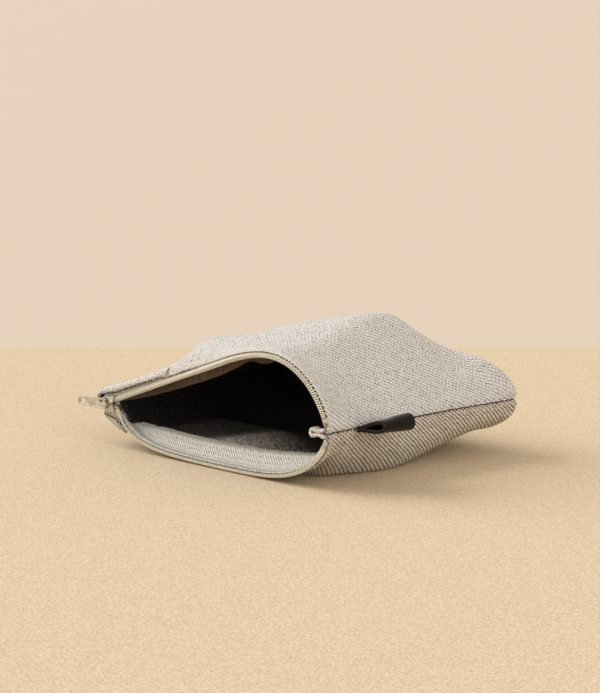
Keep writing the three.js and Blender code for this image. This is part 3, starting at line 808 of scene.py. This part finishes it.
def sag(face, share, along):
    """Unevenness of worn cloth, with a soft ridge and a hollow on the front panel."""
    x = share * HALF_WIDTH
    wave = np.sin(x / 11 + along / 23 + 0.6) * np.sin(along / 14 - x / 31 + 1.1)
    ripple = np.sin(x / 5.3 - along / 7.1) * np.sin(x / 8.7 + along / 9.3 + 2.0)
    calm = eased(along, TAPE_SHOWN, CALM_LENGTH) * (1 - np.abs(share) ** CALM_POWER)
    waves, ripples = FRONT_WAVES if face > 0 else BACK_WAVES
    uneven = (waves * wave + ripples * ripple) * calm
    if face < 0:
        return uneven
    beside = x - mix(RIDGE_FRONT, RIDGE_BACK, along / RIDGE_END)
    beside = beside / np.where(beside < 0, RIDGE_WIDTH, RIDGE_RIGHT)
    ridge = RIDGE_RISE * np.exp(-beside * beside) * eased(along, *RIDGE_SPAN)
    ridge = ridge * (1 - eased(along, RIDGE_END, RIDGE_FADE))
    across = (x - HOLLOW_PLACE[0]) / HOLLOW_REACH[0]
    down = (along - HOLLOW_PLACE[1]) / HOLLOW_REACH[1]
    return uneven + ridge - HOLLOW_DEPTH * np.exp(-(across**2) - down**2)


def pinched(points, share, along):
    """Draws the cloth in along the seams, so that they lie in a valley."""
    height = np.abs(points[..., 2] - seam_height(points[..., 0]))
    near = np.exp(-((height / PINCH_REACH) ** 2))
    moved = points.copy()
    moved[..., 0] -= np.sign(share) * SEAM_PINCH * near * eased(np.abs(share), *PINCH_SIDE_SPAN)
    moved[..., 1] -= SEAM_PINCH * near * eased(along, *PINCH_BOTTOM_SPAN)
    return moved


def raised_floor(points, share, along):
    """Heights of the back panel: swollen behind the zip and slack at the right."""
    x = share * HALF_WIDTH
    crest = eased(along, MOUND_START, MOUND_CREST - MOUND_START)
    rise = eased(along, MOUND_EDGE, MOUND_START) * mix(MOUND_SHOULDER, 1, crest)
    fall = 1 - eased(along, MOUND_CREST, MOUND_END - MOUND_CREST)
    beside = eased(x, MOUND_LEFT, MOUND_FADE) * (1 - eased(x, MOUND_RIGHT - MOUND_FADE, MOUND_FADE))
    swell = MOUND_RISE * rise * fall * beside
    lip = face_point(-1, np.linspace(*LIP_SHARES, 400), 0.0)
    column = points[..., 0] + points[..., 1]
    columns = lip[:, 0] + lip[:, 1]
    behind = points[..., 1] - np.interp(column, columns, lip[:, 1])
    hidden = np.interp(column, columns, lip[:, 2]) - SIGHT_SLOPE * behind + SIGHT_CLEAR
    in_corner = eased(-column, CORNER_END, CORNER_FADE) * (1 - eased(behind, *CORNER_DEEP_SPAN))
    hidden = mix(0, hidden, in_corner)
    swell = np.maximum(swell, np.minimum(hidden, seam_height(points[..., 0]) - SEAM_CLEAR))
    over = np.minimum(SOFT_LIMIT, (swell - points[..., 2]) / MOUND_SOFT)
    lifted = points[..., 2] + MOUND_SOFT * np.log1p(np.exp(over))
    height = mix(points[..., 2], lifted, unit(swell / MOUND_BLEND))
    slack = eased(along, *SLACK_START_SPAN) * (1 - SLACK_EASE * eased(along, *SLACK_EASED_SPAN))
    slack = slack * (1 - eased(along, *SLACK_END_SPAN))
    slack = slack * eased(x, *SLACK_ACROSS_SPAN) * (1 - eased(share, *SLACK_SIDE_SPAN))
    return np.maximum(np.minimum(height, TABLE_CLEAR), height - SLACK * slack)


def closed(face, points, share, along):
    """Lets the two panels meet along the seams."""
    near = np.maximum(eased(np.abs(share), *MEET_SIDE_SPAN), eased(along, *MEET_BOTTOM_SPAN))
    moved = points.copy()
    moved[..., 2] -= face * CLEARANCE * near
    return moved


def cloth_lengths(face, grid):
    """Lengths over a grid of points, across from its right side and along from its edge."""
    u = lengths_along(grid)
    return stacked(face * (u - u[-1:]), lengths_along(grid, 1))


def panel_piece(name, face, right_side, wrong_side):
    shares = panel_shares(face)
    share = shares[:, None]
    outer_rows = panel_rows(share, OUTER_ROWS)
    inner_rows = panel_rows(share, INNER_ROWS)

    def outer_face(rows):
        base = face_point(face, share, rows)
        normal = face_normal(face, share, rows)
        if face > 0:
            across, out = pleat_moves(share, rows)
            base = base + normal * out[..., None]
            base[..., 0] += across
        base = base + normal * sag(face, share, rows)[..., None]
        if face < 0:
            base[..., 2] = raised_floor(base, share, rows)
        base = pinched(above_seams(face, base), share, rows)
        return closed(face, base, share, rows), normal

    outer, _ = outer_face(outer_rows)
    under, normal = outer_face(inner_rows)
    inner = closed(face, above_seams(face, under - normal * CLOTH), share, inner_rows)
    edge_normal = face_normal(face, shares, mouth_row(shares))
    inward = normalised(outer[:, 1] - outer[:, 0])
    reach = lengths_along(outer[:, 0])
    scallop = SCALLOP * np.sin(reach * 2 * math.pi / RIB_EDGE)
    scallop = scallop + SCALLOP_DRIFT * np.sin(reach * 1.13 + 1)
    turn = np.linspace(0, math.pi, HEM_ROUND + 2)[1:-1]
    hem = (
        outer[:, None, 0]
        - edge_normal[:, None] * (1 - np.cos(turn))[None, :, None] * CLOTH / 2
        - inward[:, None] * (np.sin(turn)[None, :, None] * (CLOTH / 2 + scallop[:, None, None]))
    )
    hem = above_seams(face, hem)
    rings = np.concatenate([outer[:, ::-1], hem, inner], axis=1)
    count, size = rings.shape[:2]
    outer_uv = cloth_lengths(face, outer)
    hem_uv = np.repeat(outer_uv[:, :1], HEM_ROUND, axis=1)
    hem_uv = hem_uv - stacked(0.0, np.sin(turn) * 2)
    uv = np.concatenate([outer_uv[:, ::-1], hem_uv, cloth_lengths(face, under)], axis=1)
    faces = ring_faces(count, size)
    inside = np.arange(size) >= OUTER_ROWS + HEM_ROUND - 1
    slots = ring_slots(inside, count, faces, False)
    if face < 0:
        faces = faces[:, ::-1]
    return add_mesh(name, rings, faces, [right_side, wrong_side], uv, slots)


# Zip tapes
TAPE_COLUMNS = 241
TAPE_ROWS = 13
TAPE_LAST = 1 - RIGHT_TAIL / HALF_WIDTH
TORN_OFF = 1.2
TAPE_THINNED = 0.8
TAPE_THIN_OVER = 4.0


def tape_piece(name, face, torn_off, material):
    """A tape with a ragged inner edge, of which a little may be torn off."""
    shares = mix(LEFT_TAIL / HALF_WIDTH - 1, TAPE_LAST, np.linspace(0, 1, TAPE_COLUMNS))
    rows = np.linspace(TAPE_EDGE, TAPE_WIDTH, TAPE_ROWS)
    place = np.arange(TAPE_COLUMNS)
    ragged = 0.6 * np.sin(place * 2.4) + 0.5 * np.sin(place * 4.1 + 1) + 0.4 * np.sin(place * 0.9)
    along = np.broadcast_to(rows, (TAPE_COLUMNS, TAPE_ROWS)).copy()
    along[:, -1] += ragged - torn_off
    share = shares[:, None]
    base = face_point(face, share, along)
    normal = face_normal(face, share, along)
    outer = above_seams(face, base - normal * TAPE_OFFSET)
    thick = TAPE * (1 - TAPE_THINNED * eased(along, TAPE_WIDTH - TAPE_THIN_OVER, TAPE_THIN_OVER))
    inner = above_seams(face, base - normal * (TAPE_OFFSET + thick)[..., None])
    reach = lengths_along(base[:, 0])
    flat = stacked(reach[:, None], along)
    return shell_piece(name, outer, inner, flat, material, face < 0)


FIBRE_STEPS = np.linspace(0, 1, 4)
FIBRE_TAPER = 1.1 - 0.8 * FIBRE_STEPS
FIBRE_SIDES = 3
FRINGE_COUNT = 1100
FRINGE_RADIUS = 0.2
FRINGE_SHARES = (-0.84, 0.9)
FRINGE_ROOT = 2.2
NAP_COUNT = 3000
NAP_RADIUS = 0.17
NAP_SHARES = (-0.7, 0.6)
NAP_DEPTH = 48
NAP_MAP = 2 * UV_UNIT


def fibres_piece(name, share, along, rise, radius, material, uv=None):
    """Tapered fibres on the inside of the back panel, at a rise from its outer face."""
    base = face_point(-1, share, along)
    base[..., 2] = raised_floor(base, share, along)
    paths = base - face_normal(-1, share, along) * rise[..., None]
    return tubes_piece(name, paths, radius * FIBRE_TAPER, FIBRE_SIDES, material, uv)


def fringe_piece(name):
    """Loose fibres along the back tape's inner edge."""
    chance = np.random.default_rng(7)
    size = (FRINGE_COUNT, 1)
    share = np.linspace(*FRINGE_SHARES, FRINGE_COUNT)[:, None]
    share = share + chance.normal(0, 0.016, size) * FIBRE_STEPS**2
    start = TAPE_WIDTH - TORN_OFF - FRINGE_ROOT + chance.uniform(0, 1.5, size)
    along = start + chance.uniform(1.0, 4.0, size) * FIBRE_STEPS
    rise = TAPE_OFFSET + 0.3 + chance.uniform(0.1, 1.3, size) * FIBRE_STEPS
    return fibres_piece(name, share, along, rise, FRINGE_RADIUS, tape_fibre)


def nap_piece(name):
    """Brushed fibres that stand on the back panel inside the mouth."""
    chance = np.random.default_rng(11)
    size = (NAP_COUNT, 1)
    share = chance.uniform(*NAP_SHARES, size) + chance.normal(0, 0.007, size) * FIBRE_STEPS**2
    start = chance.uniform(TAPE_WIDTH - TORN_OFF + 0.5, NAP_DEPTH, size)
    along = start + chance.uniform(-0.9, 0.9, size) * FIBRE_STEPS
    rise = CLOTH - 0.2 + chance.uniform(0.5, 1.7, size) * FIBRE_STEPS
    flat = chance.uniform(0, NAP_MAP, (NAP_COUNT, 2))
    flat = np.repeat(flat, len(FIBRE_STEPS) * FIBRE_SIDES, axis=0)
    return fibres_piece(name, share, along, rise, NAP_RADIUS, inner_cloth, flat)


# Rows of teeth: one nylon coil on each tape, with the threads that sew it down
LIP_SAMPLES = 1600
COIL_WIRE = 0.31
CORD_RADIUS = 0.42
COIL_STEPS = 12
COIL_SIDES = 6


def lip_frame(face, lengths):
    """Points on the line of the teeth at lengths from its start, with the ways inwards and down."""
    ends = math.asin(COIL_START / HALF_WIDTH), math.asin(TAPE_LAST)
    shares = np.sin(np.linspace(*ends, LIP_SAMPLES))
    reach = lengths_along(face_point(face, shares, 0.0))
    share = np.interp(lengths, reach, shares)
    start = face_point(face, share, 0.0)
    inward = normalised(face_point(face, share, STEP) - start)
    return start, inward, -face_normal(face, share, 0.0), reach[-1]


def lip_place(face, lengths, along, deep):
    start, inward, sunk, _ = lip_frame(face, lengths)
    return start + inward * np.expand_dims(along, -1) + sunk * np.expand_dims(deep, -1)


def coil_length(face):
    return lip_frame(face, np.zeros(1))[3] - STOP_LENGTH - 2 * CLEARANCE


def squared(wave, power):
    """A wave with squarer corners."""
    return np.sign(wave) * np.abs(wave) ** power


def coil_piece(name, face):
    loops = int(coil_length(face) / COIL_PITCH)
    turn = np.arange(loops * COIL_STEPS + 1) / COIL_STEPS
    start = 0.0 if face > 0 else COIL_PITCH / 2
    lengths = np.minimum(start + turn * COIL_PITCH, coil_length(face))
    angle = turn * 2 * math.pi
    bow = squared(np.cos(angle), 0.7)
    lift = squared(np.sin(angle), 0.6)
    middle = (TOOTH_TIP + COIL_BACK) / 2
    along = middle + bow * ((COIL_BACK - TOOTH_TIP) / 2 - COIL_WIRE)
    deep = (COIL_OUTER + COIL_INNER) / 2 + lift * (COIL_THICK / 2 - COIL_WIRE)
    radius = COIL_WIRE * (1 + 0.22 * smooth((-bow - 0.5) / 0.5))
    path = lip_place(face, lengths, along, deep)
    return tubes_piece(name, [path], radius, COIL_SIDES, coil_nylon)


COIL_SEWN = (0.85, -0.35)
COIL_STITCH = 0.52
COIL_STITCH_RADIUS = 0.33
COIL_STITCH_SAG = 1.1
UNDER_CORD_DEEP = 0.3
UNDER_CORD_RADIUS = 0.2


def coil_threads(name, face):
    """Two lines of stitches over the coil, one stitch to each loop."""
    place = np.linspace(-0.5, 0.5, 5)
    middles = np.arange(COIL_PITCH, coil_length(face) - COIL_PITCH, COIL_PITCH)
    lengths = (middles[:, None] + place * COIL_PITCH * COIL_STITCH).ravel()
    deep = np.tile(COIL_OUTER + 0.02 + COIL_STITCH_SAG * place**2, len(middles))
    lines = [lip_place(face, lengths, along, deep) for along in COIL_SEWN]
    paths = np.concatenate(lines).reshape(-1, len(place), 3)
    return tubes_piece(name, paths, COIL_STITCH_RADIUS, 5, cream_thread)


def coil_painted_shade_cords(name, face):
    """Dark cords inside the coil and under its stitches: painted shade in the gaps between the
    loops and under the stitches.
    """
    lengths = np.arange(0.2, coil_length(face), COIL_PITCH / 2)
    cords = [(-0.5, (COIL_OUTER + COIL_INNER) / 2, CORD_RADIUS)]
    cords += [(along, COIL_OUTER + UNDER_CORD_DEEP, UNDER_CORD_RADIUS) for along in COIL_SEWN]
    paths = [lip_place(face, lengths, along, deep) for along, deep, _ in cords]
    return tubes_piece(name, paths, [[radius] for *_, radius in cords], 6, painted_shade_cord)


# Stitches that hold the panels to the tapes, and dark notches between the rib ends at the edge:
# painted shade under the cloth's edge
STITCHED_SHARES = (-0.93, 0.985)
STITCH_SLANT = 0.4
STITCH_BOW = 0.32
SUNK_TURN_SPAN = (-5, 30)
FOLD_CLEAR = 0.8
SEAM_STITCH = 2.5
SEAM_THREAD_RADIUS = 0.42


def stitch_piece(name, face, material, pitch, inset, sunk, radius, shown):
    """Short threads along the mouth edge; sunk has their depths at the left and at the right."""
    shares = np.linspace(*STITCHED_SHARES, 900)
    reach = lengths_along(face_point(face, shares, mouth_row(shares) + inset))
    place = np.linspace(0, 1, 6)
    paths = []
    for start in np.arange(0.5, reach[-1] - pitch, pitch):
        share = np.interp(start + place * pitch * shown, reach, shares)
        row = mouth_row(share) + inset + STITCH_SLANT * (place - 0.5)
        lift = STITCH_BOW * np.sin(math.pi * place)
        lift = lift - mix(*sunk, eased(share * HALF_WIDTH, *SUNK_TURN_SPAN))
        if face > 0 and np.abs(pleat_moves(share, row)).max() > FOLD_CLEAR:
            continue
        paths.append(face_point(face, share, row) + face_normal(face, share, row) * lift[:, None])
    return tubes_piece(name, paths, radius, 5, material)


def seam_thread(name):
    """Stitches in the valley of the right side seam, near black: painted shade of the valley."""
    paths = []
    for start in np.arange(3.0, DEPTH - 8, SEAM_STITCH):
        path = face_point(1, np.full(5, 1.0), start + np.linspace(0, SEAM_STITCH * 0.6, 5))
        path[:, 0] -= SEAM_PINCH - 0.5 + 0.25 * np.sin(start)
        path[:, 2] = seam_height(path[:, 0]) + 0.15 * np.sin(start * 1.7)
        paths.append(path)
    return tubes_piece(name, paths, SEAM_THREAD_RADIUS, 6, painted_shade_thread)


# Leather loop in the right side seam
LOOP_STATIONS = 41
LOOP_FLAT = 9
LOOP_CORNER = 4
LOOP_EDGE = 0.5
LOOP_EXTRA = 0.25
LOOP_NEAR = 0.66


def bezier(a, b, c, d, share):
    share = share[:, None]
    left = 1 - share
    return a * left**3 + 3 * b * share * left**2 + 3 * c * share**2 * left + d * share**3


def loop_path():
    """The middle of the leather from one end in the seam round to the other, in X and Z."""
    root = LOOP_LEATHER / 2
    radius = (LOOP_HEIGHT - LOOP_LEATHER) / 2
    crest = LOOP_REACH - LOOP_HEIGHT / 2
    bends = ((0, root), (LOOP_REACH * 0.3, root), (LOOP_REACH * 0.45, radius), (crest, radius))
    upper = bezier(*map(np.array, bends), np.linspace(0, 1, LOOP_STATIONS)[:-1])
    turn = np.linspace(math.pi / 2, -math.pi / 2, LOOP_STATIONS // 2)
    bend = stacked(crest + radius * np.cos(turn), radius * np.sin(turn))
    lower = upper[::-1] * [1, -1]
    return np.concatenate([upper, bend, lower])


def loop_piece(name):
    path = loop_path()
    half = LOOP_WIDTH / 2
    thick = LOOP_LEATHER / 2 + LOOP_EXTRA
    round_by = np.linspace(0, math.pi / 2, LOOP_CORNER)
    beside = half - LOOP_EDGE + LOOP_EDGE * np.sin(round_by)
    quarter = stacked(beside, thick - LOOP_EDGE + LOOP_EDGE * np.cos(round_by))
    across = np.linspace(-half + LOOP_EDGE * 2, half - LOOP_EDGE * 2, LOOP_FLAT)
    flat = stacked(across, thick)
    top = np.concatenate([flat, quarter, quarter[::-1] * [1, -1]])
    section = np.concatenate([top, flat[::-1] * [1, -1], -quarter, -quarter[::-1] * [1, -1]])
    near = mix(LOOP_NEAR, 1, smooth((section[:, 0] + half) / LOOP_WIDTH))
    reach, rise = strip_skin(path, section, near)
    root = HALF_WIDTH + CLEARANCE + LOOP_LEATHER * math.sin(LOOP_TILT)
    x = root + reach * math.cos(LOOP_TILT) - rise * math.sin(LOOP_TILT)
    z = SEAM_HEIGHT + reach * math.sin(LOOP_TILT) + rise * math.cos(LOOP_TILT)
    rings = stacked(x, LOOP_START + half + section[:, 0], z)
    faces = ring_faces(*rings.shape[:2])
    cut = np.zeros(len(section), bool)
    for start in (LOOP_FLAT, len(top) + LOOP_FLAT):
        cut[start : start + 2 * LOOP_CORNER - 1] = True
    slots = ring_slots(cut, len(path), faces, True)
    return add_mesh(name, rings, faces, [black_leather, cut_leather], None, slots)


# Folded strip of tape at the far end of the zip
TAB_STRIP = 1.9
TAB_TALL = 5.6
TAB_TOUCH = 0.98
TAB_PAST = 0.6
TAB_CLOSING = 2.2
TAB_SPREAD = 0.9
TAB_SPREAD_OVER = 3
TAB_EDGE = 0.3


def end_tab_piece(name):
    right = HALF_WIDTH - TAPE_OFFSET - TAPE - END_TAB_SEAT
    radius = TAB_TALL / 2 - TAB_STRIP / 2
    left = right - END_TAB_LENGTH + TAB_TALL / 2
    turn = np.linspace(math.pi / 2, 1.5 * math.pi, 15)
    bend = stacked(left + radius * np.cos(turn), radius * np.sin(turn))
    leg = np.linspace(left, right + TAB_PAST, 13)[1:]
    open_by = TAB_TOUCH + (radius - TAB_TOUCH) * (1 - eased(leg, left, TAB_CLOSING))
    open_by = open_by + TAB_SPREAD * eased(leg, right - TAB_SPREAD_OVER, TAB_SPREAD_OVER)
    top = stacked(leg, open_by)[::-1]
    low = stacked(leg, -open_by)
    path = np.concatenate([top, bend, low])
    half = END_TAB_WIDTH / 2
    thick = TAB_STRIP / 2
    across = np.array([-half, -half + TAB_EDGE, 0, half - TAB_EDGE, half])
    section = stacked(across, thick * np.array([0.4, 1, 1.1, 1, 0.4]))
    section = np.concatenate([section, section[::-1] * [1, -1]])
    x, rise = strip_skin(path, section)
    rings = stacked(x, half + section[:, 0], seam_height(x) + rise)
    flat = stacked(lengths_along(path)[:, None], section[:, 0])
    return add_mesh(name, rings, ring_faces(*rings.shape[:2]), [tape_painted_shade], flat)


# Turned seam allowance and the pleats' under-layers, seen inside the front lip, in cloth painted
# brown as shade
UNDERLAY_PLACE = [-80, -66, -50, -30, -10, 8, 22, 30, 35, 40, 47, 54, 59, 63]
UNDERLAY_DROP = [1.6, 3.6, 5.2, 6.6, 7.6, 7.8, 6.4, 4.4, 5.0, 6.6, 6.4, 2.6, 2.2, 0.4]
UNDERLAY_THICK = 1.4
UNDERLAY_INSET = 4.6
UNDERLAY_BOW = 1.2
UNDERLAY_WAVE = 0.5
# How far the top stands over the teeth at the left and at the right, and where it changes
UNDERLAY_TOP = (1.5, -2.0)
UNDERLAY_TURN_SPAN = (15, 25)
UNDERLAY_SOFT = 6
UNDERLAY_EDGE = 0.3
UNDERLAY_FLAT = 7


def underlay_piece(name):
    xs = np.linspace(UNDERLAY_PLACE[0], UNDERLAY_PLACE[-1], 221)
    drop = np.pad(np.interp(xs, UNDERLAY_PLACE, UNDERLAY_DROP), UNDERLAY_SOFT, mode="edge")
    window = 2 * UNDERLAY_SOFT + 1
    drop = np.convolve(drop, np.ones(window) / window, mode="valid")
    down = np.linspace(0, 1, 8)
    hang = face_point(1, xs / HALF_WIDTH, 0.0)[:, None] + np.zeros((1, len(down), 1))
    bow = UNDERLAY_INSET + UNDERLAY_BOW * np.sin(down * math.pi)[None, :]
    hang[..., 1] += bow + UNDERLAY_WAVE * np.sin(xs / 9)[:, None]
    top = mix(*UNDERLAY_TOP, eased(xs, *UNDERLAY_TURN_SPAN))[:, None]
    hang[..., 2] += top - (top + drop[:, None]) * down[None, :]
    back = hang.copy()
    back[..., 1] += UNDERLAY_THICK
    back[:, -1, 1] -= UNDERLAY_THICK * UNDERLAY_EDGE
    back[:, -1, 2] += UNDERLAY_EDGE
    flat = stacked(xs[:, None], down * UNDERLAY_FLAT)
    return shell_piece(name, hang, back, flat, underlay_painted_shade, True)


def soft(piece, slot, *nodes):
    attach(piece, "pouch")
    if nodes:
        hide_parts(*nodes)
    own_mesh(piece)
    return piece


front_shell = panel_piece("front_cloth", 1, front_twill, painted_shade_cloth)
back_shell = panel_piece("back_cloth", -1, back_twill_painted_shade, inner_cloth)
front = soft(front_shell, "twill", "front_panel")
back = soft(back_shell, "twill", "back_panel")
front_tape = soft(tape_piece("front_tape", 1, 0, tape_painted_light), "zip_tape", "front_zip_tape")
back_tape = soft(tape_piece("back_tape", -1, TORN_OFF, tape_painted_shade), "zip_tape", "back_zip_tape")
SIDES = (("front", 1), ("back", -1))
for side, face in SIDES:
    soft(coil_piece(side + "_teeth", face), "coil", side + "_coil")
for side, face in SIDES:
    soft(coil_threads(side + "_teeth_thread", face), "zip_tape")
for side, face in SIDES:
    soft(coil_painted_shade_cords(side + "_teeth_painted_shade_cord", face), "zip_tape")
soft(fringe_piece("tape_fringe"), "zip_tape")
soft(nap_piece("inner_nap"), "twill")
soft(seam_thread("side_seam_thread"), "twill")
for side, face in SIDES:
    sizes = dict(pitch=2.9, inset=1.9, sunk=(0.25, 0.25), radius=0.26, shown=0.72)
    soft(stitch_piece(side + "_stitches", face, cream_thread, **sizes), "zip_tape")
    sizes = dict(pitch=RIB_EDGE, inset=-1.35, sunk=(0.8, 0.3), radius=0.44, shown=0.5)
    soft(stitch_piece(side + "_edge_shade_notches", face, painted_shade_thread, **sizes), "twill")
end_tab = soft(end_tab_piece("zip_end_strip"), "zip_tape", "zip_end_tab")
underlay = soft(underlay_piece("pleat_underlay"), "twill")

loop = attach(loop_piece("leather_loop"), "pouch")
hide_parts("side_loop")


STOP_ROUND = 0.0003
METAL_ROUND = 0.00014
ROUNDED_FROM = math.radians(35)


def plated(piece, width):
    """Nickel plate and rounded edges."""
    piece.data.materials.clear()
    piece.data.materials.append(nickel)
    bevel = piece.modifiers.new("rounded_edges", "BEVEL")
    bevel.width = width
    bevel.segments = 2
    bevel.limit_method = "ANGLE"
    bevel.angle_limit = ROUNDED_FROM


for stop in ("front_top_stop", "back_top_stop"):
    copied = add_object(stop.replace("_top_", "_end_"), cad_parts[stop].data.copy())
    plated(soft(copied, "nickel", stop), STOP_ROUND)
for node in ("bottom_stop", "slider_body", "pull_tab"):
    plated(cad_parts[node], METAL_ROUND)


# Camera at the photograph's angle, and a floor in two pale tones
CAMERA_PLACE = Vector((np.array([887.3, -812.7, 258.5]) + SHIFT) / 1000)
CAMERA_TURN = math.radians(45)
CAMERA_PITCH = math.radians(9)
FOCAL_PIXELS = 2184
IMAGE_HEIGHT = 693
BACKDROP_REACH = 1.632
BACKDROP_SOFT = 0.004


def floor_material():
    g = Graph("floor_paper", roughness=0.9)
    place = g.place()
    x, y = g.parts(place)
    ahead = (x - CAMERA_PLACE.x) * -math.sin(CAMERA_TURN)
    ahead = ahead + (y - CAMERA_PLACE.y) * math.cos(CAMERA_TURN)
    far = g.step(ahead, BACKDROP_REACH - BACKDROP_SOFT, BACKDROP_REACH + BACKDROP_SOFT)
    grain = g.noise(place, 900, 3, 0.8)
    near_tone = g.ramp(grain, (0.36, "c1a887"), (0.64, "ddcfb5"))
    far_tone = g.ramp(g.noise(place, 2, 2), (0.3, "cebfaf"), (0.7, "cfc0b0"))
    g.set("Base Color", g.blend(far, near_tone, far_tone))
    g.set("Specular IOR Level", 0.1)
    g.bump(grain, 0.0001, 0.2)
    return g.material


FLOOR_REACH = 400
FLOOR_HEIGHT = -0.0003
floor_mesh = bpy.data.meshes.new("floor")
corner_signs = ((-1, -1), (1, -1), (1, 1), (-1, 1))
floor_corners = [(x * FLOOR_REACH, y * FLOOR_REACH, FLOOR_HEIGHT) for x, y in corner_signs]
floor_mesh.from_pydata(floor_corners, [], [(0, 1, 2, 3)])
floor_mesh.materials.append(floor_material())
floor = add_object("floor", floor_mesh)

# A soft key from the left of the picture and a little behind, and a low fill from the front right
LAMP_COLOUR = (0.98, 1.005, 1.05)
WORLD_COLOUR = (1.0, 0.89, 0.76, 1)
WORLD_STRENGTH = 0.7
BEYOND = "e5d3bf"
across_view = Vector((math.cos(CAMERA_TURN), math.sin(CAMERA_TURN), 0))
towards_camera = Vector((math.sin(CAMERA_TURN), -math.cos(CAMERA_TURN), 0))


def add_sun(name, left, front, up, strength, degrees):
    towards = across_view * -left + towards_camera * front + Vector((0, 0, up))
    light = bpy.data.lights.new(name, "SUN")
    light.energy = strength
    light.angle = math.radians(degrees)
    light.color = LAMP_COLOUR
    lamp = add_object(name, light)
    lamp.rotation_euler = towards.to_track_quat("Z", "Y").to_euler()
    lamp.location = towards


add_sun("key_light", left=0.75, front=-0.35, up=0.5, strength=2.8, degrees=50)
add_sun("fill_light", left=-0.4, front=0.6, up=0.32, strength=0.95, degrees=40)

world = bpy.data.worlds.new("studio")
bpy.context.scene.world = world
sky = Nodes(world, "World")
camera_ray, glossy_ray, clear_ray = (
    sky.node("LightPath", f"Is {kind} Ray", {}) for kind in ("Camera", "Glossy", "Transmission")
)
seen = sky.math("MAXIMUM", sky.math("MAXIMUM", camera_ray, glossy_ray), clear_ray)
light = sky.node("Background", 0, {"Color": WORLD_COLOUR, "Strength": WORLD_STRENGTH})
beyond = sky.node("Background", 0, {"Color": paint(BEYOND)})
sky.put(sky.surface, sky.node("MixShader", 0, {0: seen, 1: light, 2: beyond}))
bpy.context.scene.view_settings.view_transform = "Standard"

camera_data = bpy.data.cameras.new("camera")
camera_data.sensor_width = 36
camera_data.lens = FOCAL_PIXELS * camera_data.sensor_width / IMAGE_HEIGHT
camera_data.clip_start = 0.01
camera_data.clip_end = 900
camera = add_object("camera", camera_data)
camera.location = CAMERA_PLACE
camera.rotation_euler = (math.pi / 2 - CAMERA_PITCH, 0, CAMERA_TURN)
bpy.context.scene.camera = camera
